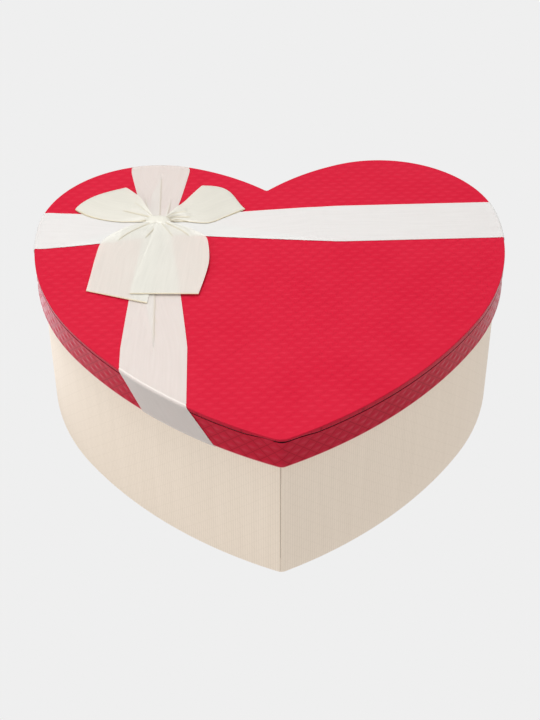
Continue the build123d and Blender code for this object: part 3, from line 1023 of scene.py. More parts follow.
    def add_border(self, sheet: bpy.types.Object, along: np.ndarray) -> None:
        """Joins the heart's smooth edge to the grid and fills the strip between them.

        Args:
            sheet: the cut grid.
            along: the edge's stations.
        """
        border = ring_of_edges("panel_edge", self.panel.ring(along, self.flat_edge, LID_TOP))
        pick([sheet, border])
        bpy.ops.object.join()
        enter_edit(sheet)
        bpy.ops.mesh.select_non_manifold(
            extend=False, use_wire=True, use_boundary=True, use_multi_face=False,
            use_non_contiguous=False, use_verts=False,
        )
        bpy.ops.mesh.fill(use_beauty=True)
        leave_edit()

    def turn_edge(self, sheet: bpy.types.Object, along: np.ndarray) -> None:
        """Turns the sheet's edge down over the panel and under it, and closes the sheet below.

        Args:
            sheet: the sheet with its border.
            along: the edge's stations.
        """
        enter_edit(sheet)
        shape = bmesh.from_edit_mesh(sheet.data)
        station = shape.verts.layers.int["station"]
        for vertex in shape.verts:
            vertex.select = vertex[station] >= 0
        shape.select_flush(True)
        bmesh.update_edit_mesh(sheet.data)
        extrude_rings(sheet, [self.seam_ring(self.panel, along, row) for row in self.edge_rows])
        bpy.ops.mesh.edge_face_add()
        bpy.ops.mesh.quads_convert_to_tris()
        bpy.ops.mesh.select_all(action="SELECT")
        bpy.ops.mesh.normals_make_consistent(inside=False)
        leave_edit()

    def top_sheet(self) -> None:
        """The panel's sheet: an embossed grid cut to the heart, with its edge turned down and under."""
        sheet = self.cut_grid()
        along = np.arange(self.border_stations) * self.panel.length() / self.border_stations
        self.add_border(sheet, along)
        spots = coordinates(sheet)
        fade = smoothstep(*self.emboss_fade, self.panel.insets(spots[:, :2]))
        pressed = 1 - self.pattern.height(spots[:, 0], spots[:, 1])
        spots[:, 2] -= self.pattern.relief * pressed * fade
        sheet.data.vertices.foreach_set("co", spots.ravel())
        self.turn_edge(sheet, along)
        spots = coordinates(sheet)
        lay_out(sheet, spots[:, 0], spots[:, 1])
        fade = smoothstep(*self.emboss_fade, self.panel.insets(spots[:, :2]))
        mark(sheet, "emboss", self.pattern.height(spots[:, 0], spots[:, 1]) * fade)
        turned = stations_of(sheet) >= 0
        finish_piece(sheet, TOP_RED.material(), Body.LID, PAPER_SMOOTH)
        # The turned edge takes the rim's darker red, which is painted shade
        sheet.data.materials.append(SHADED_RIM_RED.material())
        # The faces next to the seam take the seam's painted shade
        sheet.data.materials.append(SEAM_SHADE.material())
        for face, height in zip(sheet.data.polygons, self.above_seam(sheet)):
            if turned[list(face.vertices)].all() and face.center.z < self.edge_level * MM:
                face.material_index = 2 if height < self.seam_half else 1
        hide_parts("lid_top_paper")

    def rim_band(self) -> None:
        """The rim's band: embossed outside, rolled over at its top and turned in at its bottom."""
        whole = self.rim.length()
        pattern = self.rim_pattern
        repeats = round(whole / pattern.across)
        along = np.arange(repeats * pattern.steps) * whole / (repeats * pattern.steps)
        stretch = pattern.across * repeats / whole
        rings = []
        for level in np.arange(*self.band_levels, pattern.along / pattern.steps):
            pressed = 1 - pattern.height(along * stretch, np.full(len(along), level))
            inset = pattern.relief * pressed * plateau(self.band_fade, level)
            rings.append(self.seam_ring(self.rim, along, (inset, level)))
        rings += [self.seam_ring(self.rim, along, row) for row in self.fold_rows]
        band = swept_paper("lid_rim_cover", rings)
        spots = coordinates(band)
        across = along[stations_of(band)] * stretch
        lay_out(band, across, spots[:, 2], whole * stretch)
        outside = self.rim.insets(spots[:, :2]) < 2 * pattern.relief
        mark(band, "emboss", pattern.height(across, spots[:, 2]) * outside)
        finish_piece(band, SHADED_RIM_RED.material(), Body.LID, PAPER_SMOOTH)
        # Faces next to the seam take the seam's painted shade
        band.data.materials.append(SEAM_SHADE.material())
        for face, height in zip(band.data.polygons, self.above_seam(band)):
            face.material_index = int(height > -self.seam_half)
        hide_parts("lid_rim_paper")


# Base wrap


@dataclass
class BaseWrap:
    """The cream paper round the tray: ribbed outside, turned in at the top and under at the bottom.

    The paper's two ends meet in an upright seam beside the tip. It gapes a little more towards the top, and
    one end stands out a little. Rows are an inset and a level.
    """

    wall: HeartOutline = HeartOutline(8.95)
    outside: float = 3.45
    rib: float = CREAM.rib
    stations_per_rib: int = 4
    rib_relief: float = 0.025
    broad_ribs: int = 3
    broad_share: float = 0.4
    seam_x: float = -0.6
    seam_search: float = 12.0
    seam_step: float = 0.02
    seam_half: float = 0.42
    seam_depth: float = 0.45
    seam_shares: tuple[float, ...] = (-1.0, -0.45, 0.0, 0.45, 1.0)
    seam_dark_share: float = 0.45
    seam_room_share: float = 1.2
    seam_shut_share: float = 0.55
    seam_opens: tuple[float, float] = (60.0, 105.0)
    lap: float = 0.12
    lap_length: float = 9.0
    foot: float = 2.0
    wall_levels: tuple[float, ...] = (1.0, 12.0, 27.0, 42.0, 57.0, 72.0, 87.0, 97.0, 105.8)
    fold_rows: tuple[tuple[float, float], ...] = (
        (3.48, 106.25), (3.6, 106.52), (3.85, 106.67), (4.3, 106.7), (5.3, 106.7), (5.8, 106.65),
        (6.05, 106.48), (6.15, 106.1), (6.15, 97.0), (6.15, 88.7), (5.86, 88.7), (5.86, 97.0),
        (5.86, 106.1), (5.7, 106.38), (3.95, 106.38), (3.76, 106.1), (3.76, 55.0), (3.76, 0.8),
        (4.0, 0.48), (8.45, 0.48), (8.45, 0.22), (4.2, 0.22), (3.75, 0.3), (3.52, 0.52),
    )

    def wall_rings(self, along: np.ndarray, turn: np.ndarray, seam: float) -> list[np.ndarray]:
        """The rings of the wall's outside, with its ribs and its seam.

        Args:
            along: the stations' distances from the tip.
            turn: how many ribs lie before each station.
            seam: the seam's distance from the tip.

        Returns:
            A ring for each level.
        """
        crest, broad = (0.5 - 0.5 * np.cos(math.tau * turn / count) for count in (1, self.broad_ribs))
        ribs = self.rib_relief * ((1 - self.broad_share) * crest + self.broad_share * broad)
        groove = self.seam_depth * np.clip(1 - np.abs(along - seam) / self.seam_half, 0, 1)
        lap = self.lap * np.clip(1 - (along - seam) / self.lap_length, 0, 1) * (along >= seam)
        rings = []
        for level in self.wall_levels:
            gape = self.seam_shut_share + (1 - self.seam_shut_share) * smoothstep(*self.seam_opens, level)
            shift = ribs + groove * gape - lap * (level > self.foot)
            rings.append(self.wall.ring(along, self.outside + shift, level))
        return rings

    def build(self) -> None:
        """Builds and dresses the wrap."""
        whole = self.wall.length()
        ribs = round(whole / self.rib)
        even = np.arange(ribs * self.stations_per_rib) * whole / (ribs * self.stations_per_rib)
        near_tip = np.arange(whole - self.seam_search, whole, self.seam_step)
        beside = np.abs(self.wall.ring(near_tip, self.outside, 0.0)[:, 0] - self.seam_x)
        seam = near_tip[np.argmin(beside)]
        clear = np.abs(even - seam) > self.seam_room_share * self.seam_half
        along = np.sort(np.concatenate([even[clear], seam + self.seam_half * np.array(self.seam_shares)]))
        rings = self.wall_rings(along, along * ribs / whole, seam)
        rings += [self.wall.ring(along, inset, level) for inset, level in self.fold_rows]
        wrap = swept_paper("base_wrap_cover", rings)
        stretch = self.rib * ribs / whole
        lay_out(wrap, along[stations_of(wrap)] * stretch, coordinates(wrap)[:, 2], whole * stretch)
        finish_piece(wrap, CREAM.material(), Body.BASE, PAPER_SMOOTH)
        # Faces in the seam's groove, above the foot, take the groove's painted shade
        wrap.data.materials.append(SEAM_GROOVE_SHADE.material())
        x, y, _ = self.wall.ring(np.array([seam]), self.outside, 0.0)[0] * MM
        dark = self.seam_dark_share * self.seam_half * MM
        for face in wrap.data.polygons:
            in_seam = math.hypot(face.center.x - x, face.center.y - y) < dark
            face.material_index = int(in_seam and face.center.z > self.foot * MM)
        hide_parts("base_wrap_paper")


# Ribbons


@dataclass(frozen=True)
class Pleat:
    """A knife pleat that takes up spare width beside the knot. Shares; the reach as its piece counts it."""

    place: float
    share: float
    reach: float
    near_on_top: bool = True
    least: float = 0.0


# A pleat opens over the last part of its reach, and takes up no more than this share of the room beside it
PLEAT_OPENS_SHARE = 0.6
PLEAT_ROOM_SHARE = 0.85

# How wide a fold has its full height, how far its turn stands out, and how long the layer on it slopes
FULL_FOLD = 1.2
FOLD_TURN = 0.12
FOLD_SLOPE = 3.0


def folded_section(
    left: np.ndarray, right: np.ndarray, pleats: Sequence[Pleat], reach: np.ndarray, columns: int,
) -> tuple[np.ndarray, np.ndarray, np.ndarray]:
    """A ribbon's section, laid in knife pleats where it is drawn in.

    Args:
        left: how far its left side stands from the middle line, for each row.
        right: how far its right side does.
        pleats: its pleats in order from the right side.
        reach: how far from the knot each row is.
        columns: points in each run between two folds.

    Returns:
        Offsets to the left, heights and the share of painted warm shade near the folds, with a column for
        each point of the section.
    """
    whole = left + right
    spare = np.maximum(RIBBON_WIDTH - whole, 0)
    weights = [p.share * (1 - smoothstep(PLEAT_OPENS_SHARE * p.reach, p.reach, reach)) for p in pleats]
    total = np.maximum(sum(weights), 1.0) if weights else np.ones_like(reach)
    edges = [0.0, *(p.place for p in pleats), 1.0]
    runs: list[tuple[np.ndarray, np.ndarray]] = []
    lines: list[tuple[np.ndarray, np.ndarray]] = []
    cursor = -right
    before: tuple[np.ndarray, np.ndarray] | None = None

    def run(end: np.ndarray, rise: Callable[[np.ndarray], np.ndarray]) -> None:
        """Adds a run of points from the cursor to its end, over the pleat before it.

        Args:
            end: the last point's offset, for each row.
            rise: gives the height at an offset.
        """
        for step in range(columns):
            offset = cursor + (end - cursor) * step / (columns - 1)
            height = rise(offset)
            if before is not None:
                height = np.maximum(height, before[1] * (1 - smoothstep(0.0, FOLD_SLOPE, offset - before[0])))
            runs.append((offset, height))

    for number, (pleat, weight) in enumerate(zip(pleats, weights)):
        room = pleat.place - edges[number] if pleat.near_on_top else edges[number + 2] - pleat.place
        fold = np.minimum(spare / 2 * weight / total + pleat.least * weight, PLEAT_ROOM_SHARE * room * whole)
        full = smoothstep(0.0, FULL_FOLD, fold)
        high = RIBBON_LAYER * full
        seen = pleat.place * whole - right
        crest, back = (seen, seen - fold) if pleat.near_on_top else (seen + fold, seen)
        top = 2 * high if pleat.near_on_top else 0 * high
        run(crest, lambda offset: top * smoothstep(-FOLD_SLOPE, 0.0, offset - back))
        runs.append((crest + FOLD_TURN * full, 0.5 * (top + high)))
        runs.extend((crest - fold * step / 3, high) for step in range(4))
        runs.append((back - FOLD_TURN * full, 1.5 * high - 0.5 * top))
        cursor = back
        before = None if pleat.near_on_top else (crest, 2 * high)
        lines.append((crest if pleat.near_on_top else back, FOLD_SHADE_TONE * full))
    run(left, lambda offset: 0 * offset)
    offsets, heights = (np.stack(part, -1) for part in zip(*runs))
    folds = np.zeros_like(offsets)
    for place, share in lines:
        near = np.exp(-(((offsets - place[..., None]) / FOLD_SPREAD) ** 2))
        folds = np.maximum(folds, share[..., None] * near)
    return offsets, heights, folds


def flat_across(offsets: np.ndarray, heights: np.ndarray) -> np.ndarray:
    """Each section point's place across the flat ribbon."""
    steps = np.hypot(np.diff(offsets, axis=-1), np.diff(heights, axis=-1))
    return np.concatenate([np.zeros_like(steps[..., :1]), np.cumsum(steps, -1)], -1)


@dataclass(frozen=True)
class Arm:
    """One arm of a ribbon, from the knot to the inside of the rim. Millimetres.

    The side on the left, seen from the knot outwards, is the positive one.
    """

    direction: tuple[float, float]
    gather: float
    left_power: float
    right_power: float
    pleats: tuple[Pleat, ...] = ()
    hem_under: float = 0.0
    hem_on_left: bool = False
    ridge: float = 0.0


@dataclass
class LidRibbon:
    """A ribbon laid over the lid, drawn together at the knot and taped inside the rim. Millimetres.

    The end rows lead it over the lid's edge, down the rim and up inside; each is an inset and a level.
    """

    name: str
    arms: tuple[Arm, Arm]
    flat_length: float
    lift: float = 0.0
    crossing: tuple[float, float] = KNOT_PLACE
    waist: float = 12.0
    seat: float = 109.1
    bridge_slope: float = 14.0
    rim: HeartOutline = HeartOutline(5.0)
    lid_edge: float = 1.9
    lid_rows: int = 40
    row_power: float = 1.15
    columns: int = 14
    past_gather: float = 60.0
    drift_step: float = 0.5
    hem_opens_share: float = 0.8
    hem_room_share: float = 0.9
    hem_columns: int = 6
    full_hem: float = 1.0
    gleam: float = 5.0
    bend_insets: tuple[float, float, float, float] = (0.1, 0.5, 1.0, 1.5)
    end_rows: tuple[tuple[float, float], ...] = (
        (1.7, 109.12), (1.4, 109.15), (0.95, 109.15), (0.45, 109.11), (0.1, 108.99), (-0.2, 108.76),
        (-0.42, 108.37), (-0.52, 107.9), (-0.5, 107.2), (-0.4, 105.6), (-0.28, 103.0), (-0.22, 99.0),
        (-0.22, 94.0), (-0.22, 89.5), (-0.2, 88.4), (-0.05, 88.08), (0.25, 87.98), (1.4, 87.97),
        (2.45, 87.98), (2.7, 88.08), (2.82, 88.4), (2.84, 90.0), (2.84, 95.0), (2.84, 100.2),
    )

    def half_widths(self, arm: Arm, reach: np.ndarray) -> tuple[np.ndarray, np.ndarray]:
        """How far the ribbon's sides stand from its middle line.

        Args:
            arm: the arm.
            reach: distances from the knot.

        Returns:
            The left and the right half width.
        """
        share = np.clip(reach / arm.gather, 0, 1)
        narrow, wide = self.waist / 2, RIBBON_WIDTH / 2
        left, right = (narrow + (wide - narrow) * share**power for power in (arm.left_power, arm.right_power))
        return left, right

    def hem(self, arm: Arm, reach: np.ndarray) -> tuple[np.ndarray, np.ndarray, np.ndarray]:
        """The spare width beside the knot, turned under the ribbon along one side.

        Args:
            arm: an arm with a hem.
            reach: one distance for each row and column, or for each row.

        Returns:
            The hem's offsets and heights, with a column for each point, and how far it lifts the ribbon.
        """
        left, right = self.half_widths(arm, reach)
        fade = 1 - smoothstep(self.hem_opens_share * arm.hem_under, arm.hem_under, reach)
        wide = np.clip(RIBBON_WIDTH - left - right, 0, self.hem_room_share * (left + right)) * fade
        side, inward = (left, -1.0) if arm.hem_on_left else (-right, 1.0)
        full = smoothstep(0.0, self.full_hem, wide)
        up = RIBBON_LAYER * full
        runs = [(side - inward * FOLD_TURN * full, 0.5 * up)]
        for step in range(self.hem_columns):
            runs.append((side + inward * wide * step / (self.hem_columns - 1), np.zeros_like(up)))
        if not arm.hem_on_left:
            runs.reverse()
        offsets, heights = (np.stack(part, -1) for part in zip(*runs))
        return offsets, heights, up

    def section(self, arm: Arm, reach: np.ndarray) -> tuple[np.ndarray, np.ndarray, np.ndarray, np.ndarray]:
        """The ribbon's folded section at distances from the knot.

        Args:
            arm: the arm.
            reach: one distance for each row and column, or for each row.

        Returns:
            Offsets to the left, heights, flat places across and the share of painted fold shade, a column for
            each point.
        """
        left, right = self.half_widths(arm, reach)
        offsets, heights, folds = folded_section(left, right, arm.pleats, reach, self.columns)
        if arm.hem_under:
            hem_offsets, hem_heights, up = self.hem(arm, reach)
            parts = [(offsets, heights + up[..., None]), (hem_offsets, hem_heights)]
            if not arm.hem_on_left:
                parts.reverse()
            offsets, heights = (np.concatenate(part, -1) for part in zip(*parts))
            folds = np.zeros_like(offsets)
        return offsets, heights, flat_across(offsets, heights), folds

    def drift(self, ahead: np.ndarray, edge: np.ndarray) -> float:
        """How far threads that go straight on move along the rim with each millimetre past the lid's edge.

        Args:
            ahead: the arm's unit direction.
            edge: where its threads meet the lid's edge, as distances along the outline.

        Returns:
            The move for one millimetre, along the outline.
        """
        points, normals = self.rim.at(edge)
        chord = points[-1] - points[0]
        chord = chord / np.linalg.norm(chord)
        outward = normals.mean(0)
        outward = outward - (outward @ chord) * chord
        outward = outward / np.linalg.norm(outward)
        tangent = self.rim.at(edge + self.drift_step)[0].mean(0) - points.mean(0)
        return (ahead @ chord) / (ahead @ outward) * math.copysign(1.0, tangent @ chord)

    def arm_grid(self, arm: Arm) -> tuple[np.ndarray, np.ndarray, np.ndarray]:
        """One arm's middle surface.

        Args:
            arm: the arm.

        Returns:
            Points in rows from the knot outwards, their places on the flat ribbon and painted fold shade,
            below zero for a painted highlight.
        """
        ahead = np.array(arm.direction)
        side = np.array([-ahead[1], ahead[0]])
        middle = np.array(self.crossing)
        ends = self.section(arm, np.array([arm.gather + self.past_gather]))[0][0]
        edge = self.rim.edge_along(middle + ends[:, None] * side, arm.direction)
        rim_points, rim_normals = self.rim.at(edge)
        reach = (rim_points - middle) @ ahead - self.lid_edge / (rim_normals @ ahead)
        points, places, folds = [], [], []
        own = np.arange(len(reach))
        half = RIBBON_WIDTH / 2
        for row in (np.arange(self.lid_rows) / (self.lid_rows - 1)) ** self.row_power:
            distance = row * reach
            offset, tall, flat, near = (part[own, own] for part in self.section(arm, distance))
            bridge = self.lift * (1 - smoothstep(half, half + self.bridge_slope, distance))
            plan = middle + distance[:, None] * ahead + offset[:, None] * side
            points.append(np.column_stack([plan, self.seat + bridge + tall]))
            places.append(np.column_stack([distance, flat]))
            folds.append(near)
        across, still = places[-1][:, 1], folds[-1]
        drift = self.drift(ahead, edge)
        last = self.end_rows[0]
        gone = -last[0]
        length = reach
        for inset, level in self.end_rows:
            gone += math.hypot(inset - last[0], level - last[1])
            last = (inset, level)
            # Over the lid's edge the strap stands in a small ridge, with a painted highlight along it
            bend = float(np.interp(inset, self.bend_insets, (0.0, 1.0, 1.0, 0.0))) * (level > LID_TOP)
            ring = self.rim.ring(edge + drift * gone, inset, level + arm.ridge * bend)
            length = length + np.linalg.norm(ring - points[-1], axis=1)
            points.append(ring)
            places.append(np.column_stack([length, across]))
            folds.append(still - self.gleam * arm.ridge * bend)
        return np.array(points), np.array(places), np.array(folds)

    def build(self, finish: SatinRibbon, replaced: str, rests_on: Sequence[str]) -> None:
        """Builds both arms as one ribbon and dresses it.

        Args:
            finish: the ribbon's finish.
            replaced: the CAD node that it stands for.
            rests_on: not used.
        """
        halves = []
        for number, arm in enumerate(self.arms):
            halves.append(woven_sheet(f"{self.name}_{number}", *self.arm_grid(arm)))
        pick(halves)
        bpy.ops.object.join()
        ribbon = halves[0]
        ribbon.name = ribbon.data.name = self.name
        finish_piece(ribbon, finish.material(), Body.LID, RIBBON_SMOOTH)
        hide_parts(replaced)


# Bow


def smooth_curve(points: Sequence[Sequence[float]], count: int) -> np.ndarray:
    """An even-paced smooth curve through points.

    Args:
        points: rows of x, y and z.
        count: how many points to give back.

    Returns:
        Points on the curve.
    """
    knots = np.asarray(points, float)
    padded = np.vstack([2 * knots[0] - knots[1], knots, 2 * knots[-1] - knots[-2]])
    spots = np.linspace(0, len(knots) - 1, count)
    number = np.minimum(spots.astype(int), len(knots) - 2)
    t = (spots - number)[:, None]
    a, b, c, d = (padded[number + k] for k in range(4))
    return 0.5 * (2 * b + (c - a) * t + (2 * a - 5 * b + 4 * c - d) * t**2 + (3 * b - a - 3 * c + d) * t**3)


def hump(rows: tuple[float, float], share: np.ndarray) -> np.ndarray:
    """Half a wave that rises and falls between two shares, and 0 outside them."""
    first, last = rows
    return np.sin(np.pi * np.clip((share - first) / (last - first), 0, 1))


@dataclass(frozen=True)
class Crease:
    """A ridge or valley that runs out from the knot. Shares across and along; height in millimetres."""

    across: float
    spread: float
    height: float
    start: float
    end: float
    full_share: float = 0.15
    fade_share: float = 0.35
    least: float = 0.001

    def rise(self, u: np.ndarray, v: np.ndarray) -> np.ndarray:
        """The crease's height.

        Args:
            u: shares along the piece.
            v: shares across it.

        Returns:
            Heights, below zero in a valley.
        """
        span = self.end - self.start
        up = smoothstep(self.start, self.start + self.full_share * span + self.least, u)
        down = 1 - smoothstep(self.start + self.fade_share * span, self.end, u)
        return self.height * up * down * np.exp(-(((v - self.across) / self.spread) ** 2))


@dataclass(frozen=True)
class BowPiece:
    """A loop or tail of the bow between its two edges, measured from the knot. Millimetres.

    A loop goes out from the knot and comes back under itself. Rows are shares along the piece.
    """

    name: str
    near: tuple[tuple[float, float, float], ...]
    far: tuple[tuple[float, float, float], ...]
    pleats: tuple[Pleat, ...]
    creases: tuple[Crease, ...]
    flat_length: float
    hold: Hold
    rests_on: tuple[str, ...]
    finish: SatinRibbon = BOW_SATIN
    loop: bool = False
    top_pace: float = 1.5
    under_pace: float = 0.6
    edge_shade_tone: float = 0.0
    end_shade_tone: float = 0.0
    crown: float = 0.0
    crown_rows: tuple[float, float] = (0.0, 1.0)
    crown_power: float = 0.8
    bulge: tuple[float, float] = (0.0, 0.0)
    bulge_skew: float = 1.0
    bulge_rows: tuple[float, float] = (0.26, 0.74)

    def surface(self, rows: int, columns: int) -> tuple[np.ndarray, np.ndarray, np.ndarray]:
        """The piece's middle surface.

        Args:
            rows: points along the ribbon.
            columns: points in each run between two folds.

        Returns:
            Points in rows and columns, their places on the flat ribbon and painted warm shade at folds, edges
            and the end.
        """
        near, far = smooth_curve(self.near, rows), smooth_curve(self.far, rows)
        u = np.linspace(0, 1, rows)
        reach = u
        if self.loop:
            reach = np.where(u < 0.5, self.top_pace, self.under_pace) * (1 - np.abs(2 * u - 1))
        whole = np.linalg.norm(far - near, axis=1)
        offsets, heights, folds = folded_section(whole, 0 * whole, self.pleats, reach, columns)
        # Painted warm shade along the near edge, where the loop's shadow falls, and across the tail's cut end
        folds = np.maximum(folds, self.edge_shade_tone * np.exp(-((offsets / FOLD_SPREAD) ** 2)))
        hem = self.end_shade_tone * np.exp(-(((1 - u) * self.flat_length / FOLD_SPREAD) ** 2))
        folds = np.maximum(folds, hem[:, None])
        v = offsets / whole[:, None]
        u = u[:, None]
        grid = near[:, None, :] * (1 - v[..., None]) + far[:, None, :] * v[..., None]
        inside = np.clip(v, 0, 1)
        swell = hump(self.crown_rows, u) ** self.crown_power
        grid[..., 2] += heights + self.crown * np.sin(np.pi * inside) * swell
        arch = np.sin(np.pi * inside**self.bulge_skew) * hump(self.bulge_rows, u) ** 2
        grid[..., 0] += self.bulge[0] * arch
        grid[..., 1] += self.bulge[1] * arch
        for crease in self.creases:
            grid[..., 2] += crease.rise(u, v)
        along = np.broadcast_to(u * self.flat_length, v.shape)
        flat = np.stack([along, flat_across(offsets, heights)], -1)
        return grid + np.array([*KNOT_PLACE, LID_TOP]), flat, folds


@dataclass(frozen=True)
class Knot:
    """The knot: a short flat band drawn over the middle of the bow, its front edge tucked under in a hook.

    Millimetres and degrees; shares count from the knot's middle to its sides. A pleat is a height, a pace and
    a start.
    """

    centre: tuple[float, float] = (-69.1, 66.4)
    half_width: float = 7.6
    reach: float = 4.4
    low: float = 2.2
    rise: float = 2.3
    turn: float = -6.0
    points: int = 48
    angles: tuple[float, float] = (-35.0, 215.0)
    pleats: tuple[tuple[float, float, float], ...] = ((0.05, 2.4, 0.9), (0.03, 5.1, -0.4))
    round_share: float = 0.35
    sink_share: float = 0.9
    hook: float = 0.6
    hook_front: tuple[float, float] = (0.2, 1.0)
    hook_share: float = -0.2
    hook_width_share: float = 0.75
    front_power: float = 0.8
    top_power: float = 0.5
    waist_share: float = 0.1
    flare: float = 0.6
    knot_fold_shade: float = 0.6
    fold_angles: tuple[float, float] = (8.0, -16.0)

    def build(self) -> bpy.types.Object:
        """Builds and dresses the knot.

        Returns:
            The knot.
        """
        a = np.radians(np.linspace(*self.angles, self.points))[:, None]
        b = np.linspace(-1, 1, self.points)[None, :]
        front, up = np.cos(a), np.sin(a)
        pleats = sum(height * np.cos(pace * np.pi * b + start) for height, pace, start in self.pleats)
        hooked = np.cos(np.pi * (b - self.hook_share) / self.hook_width_share)
        hook = self.hook * smoothstep(*self.hook_front, front) * hooked
        deep = self.reach * (1 - self.round_share * np.abs(b) ** 3) - hook
        tall = self.rise * (1 - self.sink_share * np.abs(b) ** 3) + pleats
        y = -deep * np.sign(front) * np.abs(front) ** self.front_power
        z = self.low + tall * np.sign(up) * np.abs(up) ** self.top_power
        x = self.half_width * b * (1 - self.waist_share * front**2) + self.flare * front * b**2
        cos, sin = math.cos(math.radians(self.turn)), math.sin(math.radians(self.turn))
        turned = (x * cos - y * sin + self.centre[0], x * sin + y * cos + self.centre[1], z + LID_TOP)
        grid = np.stack(np.broadcast_arrays(*turned), -1)
        flat = np.stack(np.broadcast_arrays(a * self.rise, b * RIBBON_WIDTH / 2), -1)
        # The tucked-under front takes a painted warm shade
        folds = self.knot_fold_shade * smoothstep(*np.radians(self.fold_angles), a)
        knot = woven_sheet("bow_knot_ribbon", grid, flat, np.broadcast_to(folds, grid.shape[:2]))
        finish_piece(knot, KNOT_SATIN.material(), Body.LID, RIBBON_SMOOTH)
        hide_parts("bow_knot")
        return knot


@dataclass
class Bow:
    """The tied bow: two loops, two tails and the knot."""

    pieces: tuple[BowPiece, ...]
    rows: int = 72
    columns: int = 18

    def build(self) -> None:
        """Builds and dresses every piece of the bow."""
        dressed: dict[SatinRibbon, bpy.types.Material] = {}
        for shape in self.pieces:
            if shape.finish not in dressed:
                dressed[shape.finish] = shape.finish.material()
            piece = woven_sheet(f"{shape.name}_ribbon", *shape.surface(self.rows, self.columns))
            finish_piece(piece, dressed[shape.finish], Body.LID, RIBBON_SMOOTH)
            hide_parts(shape.name)
        knot = Knot().build()


LOOP_LEFT = BowPiece(
    name="bow_loop_left",
    near=(
        (-3.0, 5.0, 3.0), (-12.0, 6.6, 0.95), (-23.0, 6.1, 0.78), (-35.0, 9.1, 0.75), (-45.4, 14.3, 0.78),
        (-52.0, 20.0, 0.95), (-53.3, 21.0, 0.75), (-52.0, 19.5, 0.55), (-45.0, 13.5, 0.5), (-34.0, 8.8, 0.5),
        (-18.0, 6.2, 0.6), (-3.0, 4.8, 1.8),
    ),
    far=(
        (-3.0, 6.4, 3.6), (-7.6, 17.0, 4.2), (-11.6, 26.9, 4.3), (-15.9, 33.1, 4.1), (-19.4, 37.7, 3.8),
        (-21.6, 40.6, 3.2), (-22.2, 41.5, 2.3), (-21.8, 40.8, 1.4), (-19.6, 38.0, 1.0), (-15.2, 32.1, 0.95),
        (-8.8, 18.5, 1.3), (-3.0, 6.2, 2.0),
    ),
    pleats=(Pleat(0.36, 1.0, 0.7, False), Pleat(0.72, 1.0, 0.62)),
    creases=(
        Crease(0.18, 0.1, 0.3, 0.02, 0.36), Crease(0.36, 0.07, -0.2, 0.0, 0.34),
        Crease(0.55, 0.1, 0.3, 0.02, 0.36), Crease(0.74, 0.07, -0.2, 0.0, 0.3),
    ),
    flat_length=104.0,
    hold=Hold.FOLDED,
    rests_on=("cross_ribbon_satin",),
    finish=LOOP_SATIN,
    loop=True,
    edge_shade_tone=0.7,
    crown=1.2,
    crown_rows=(0.0, 0.52),
    bulge=(-2.4, 3.6),
    bulge_skew=0.75,
)

LOOP_RIGHT = BowPiece(
    name="bow_loop_right",
    near=(
        (3.0, 5.0, 3.0), (10.0, 6.8, 1.05), (19.0, 4.6, 0.85), (31.0, 3.1, 0.75), (42.0, 9.5, 0.76),
        (52.4, 16.2, 0.95), (54.3, 17.2, 0.75), (52.4, 15.7, 0.55), (42.0, 9.3, 0.5), (31.0, 3.4, 0.5),
        (17.0, 5.0, 0.6), (3.0, 4.8, 1.8),
    ),
    far=(
        (4.0, 6.4, 3.6), (10.0, 14.4, 4.2), (15.6, 21.5, 4.3), (20.8, 30.0, 4.1), (24.6, 36.5, 3.8),
        (27.0, 40.7, 3.2), (27.6, 41.9, 2.3), (27.2, 41.1, 1.4), (25.0, 37.4, 1.0), (21.0, 30.7, 0.95),
        (12.6, 17.4, 1.3), (3.5, 5.9, 2.0),
    ),
    pleats=(Pleat(0.2, 1.0, 0.62, False), Pleat(0.46, 1.0, 0.56, False)),
    creases=(
        Crease(0.1, 0.07, 0.25, 0.02, 0.34), Crease(0.22, 0.06, -0.25, 0.0, 0.34),
        Crease(0.35, 0.07, 0.25, 0.02, 0.36), Crease(0.48, 0.06, -0.2, 0.0, 0.32),
        Crease(0.64, 0.1, 0.25, 0.02, 0.32), Crease(0.8, 0.07, -0.12, 0.0, 0.26),
    ),
    flat_length=104.0,
    hold=Hold.FOLDED,
    rests_on=("cross_ribbon_satin",),
    finish=LOOP_SATIN,
    loop=True,
    edge_shade_tone=0.7,
    crown=1.2,
    crown_rows=(0.0, 0.52),
    bulge=(4.8, 5.1),
    bulge_skew=1.4,
)

TAIL_LEFT = BowPiece(
    name="bow_tail_left",
    near=(
        (-3.0, 4.6, 2.6), (-10.5, 1.2, 3.2), (-20.0, -3.1, 3.2), (-29.0, -9.0, 2.8), (-35.4, -17.0, 1.9),
        (-38.2, -31.7, 1.2), (-40.2, -48.6, 1.0), (-42.0, -63.3, 0.9),
    ),
    far=(
        (2.0, 1.6, 2.2), (1.5, -8.5, 2.1), (0.6, -17.7, 1.9), (-0.2, -27.1, 1.7), (-1.0, -37.2, 1.5),
        (-2.2, -49.3, 1.3), (-3.6, -61.4, 1.2), (-5.6, -76.8, 1.1),
    ),
    pleats=(Pleat(0.22, 1.0, 0.6), Pleat(0.62, 0.5, 0.34)),
    creases=(
        Crease(0.12, 0.09, 0.5, 0.04, 0.56), Crease(0.45, 0.1, 0.3, 0.0, 0.4),
        Crease(0.7, 0.07, -0.25, 0.0, 0.4),
    ),
    flat_length=82.0,
    end_shade_tone=0.8,
    hold=Hold.GATHERED,
    rests_on=("long_ribbon_satin", "cross_ribbon_satin"),
)

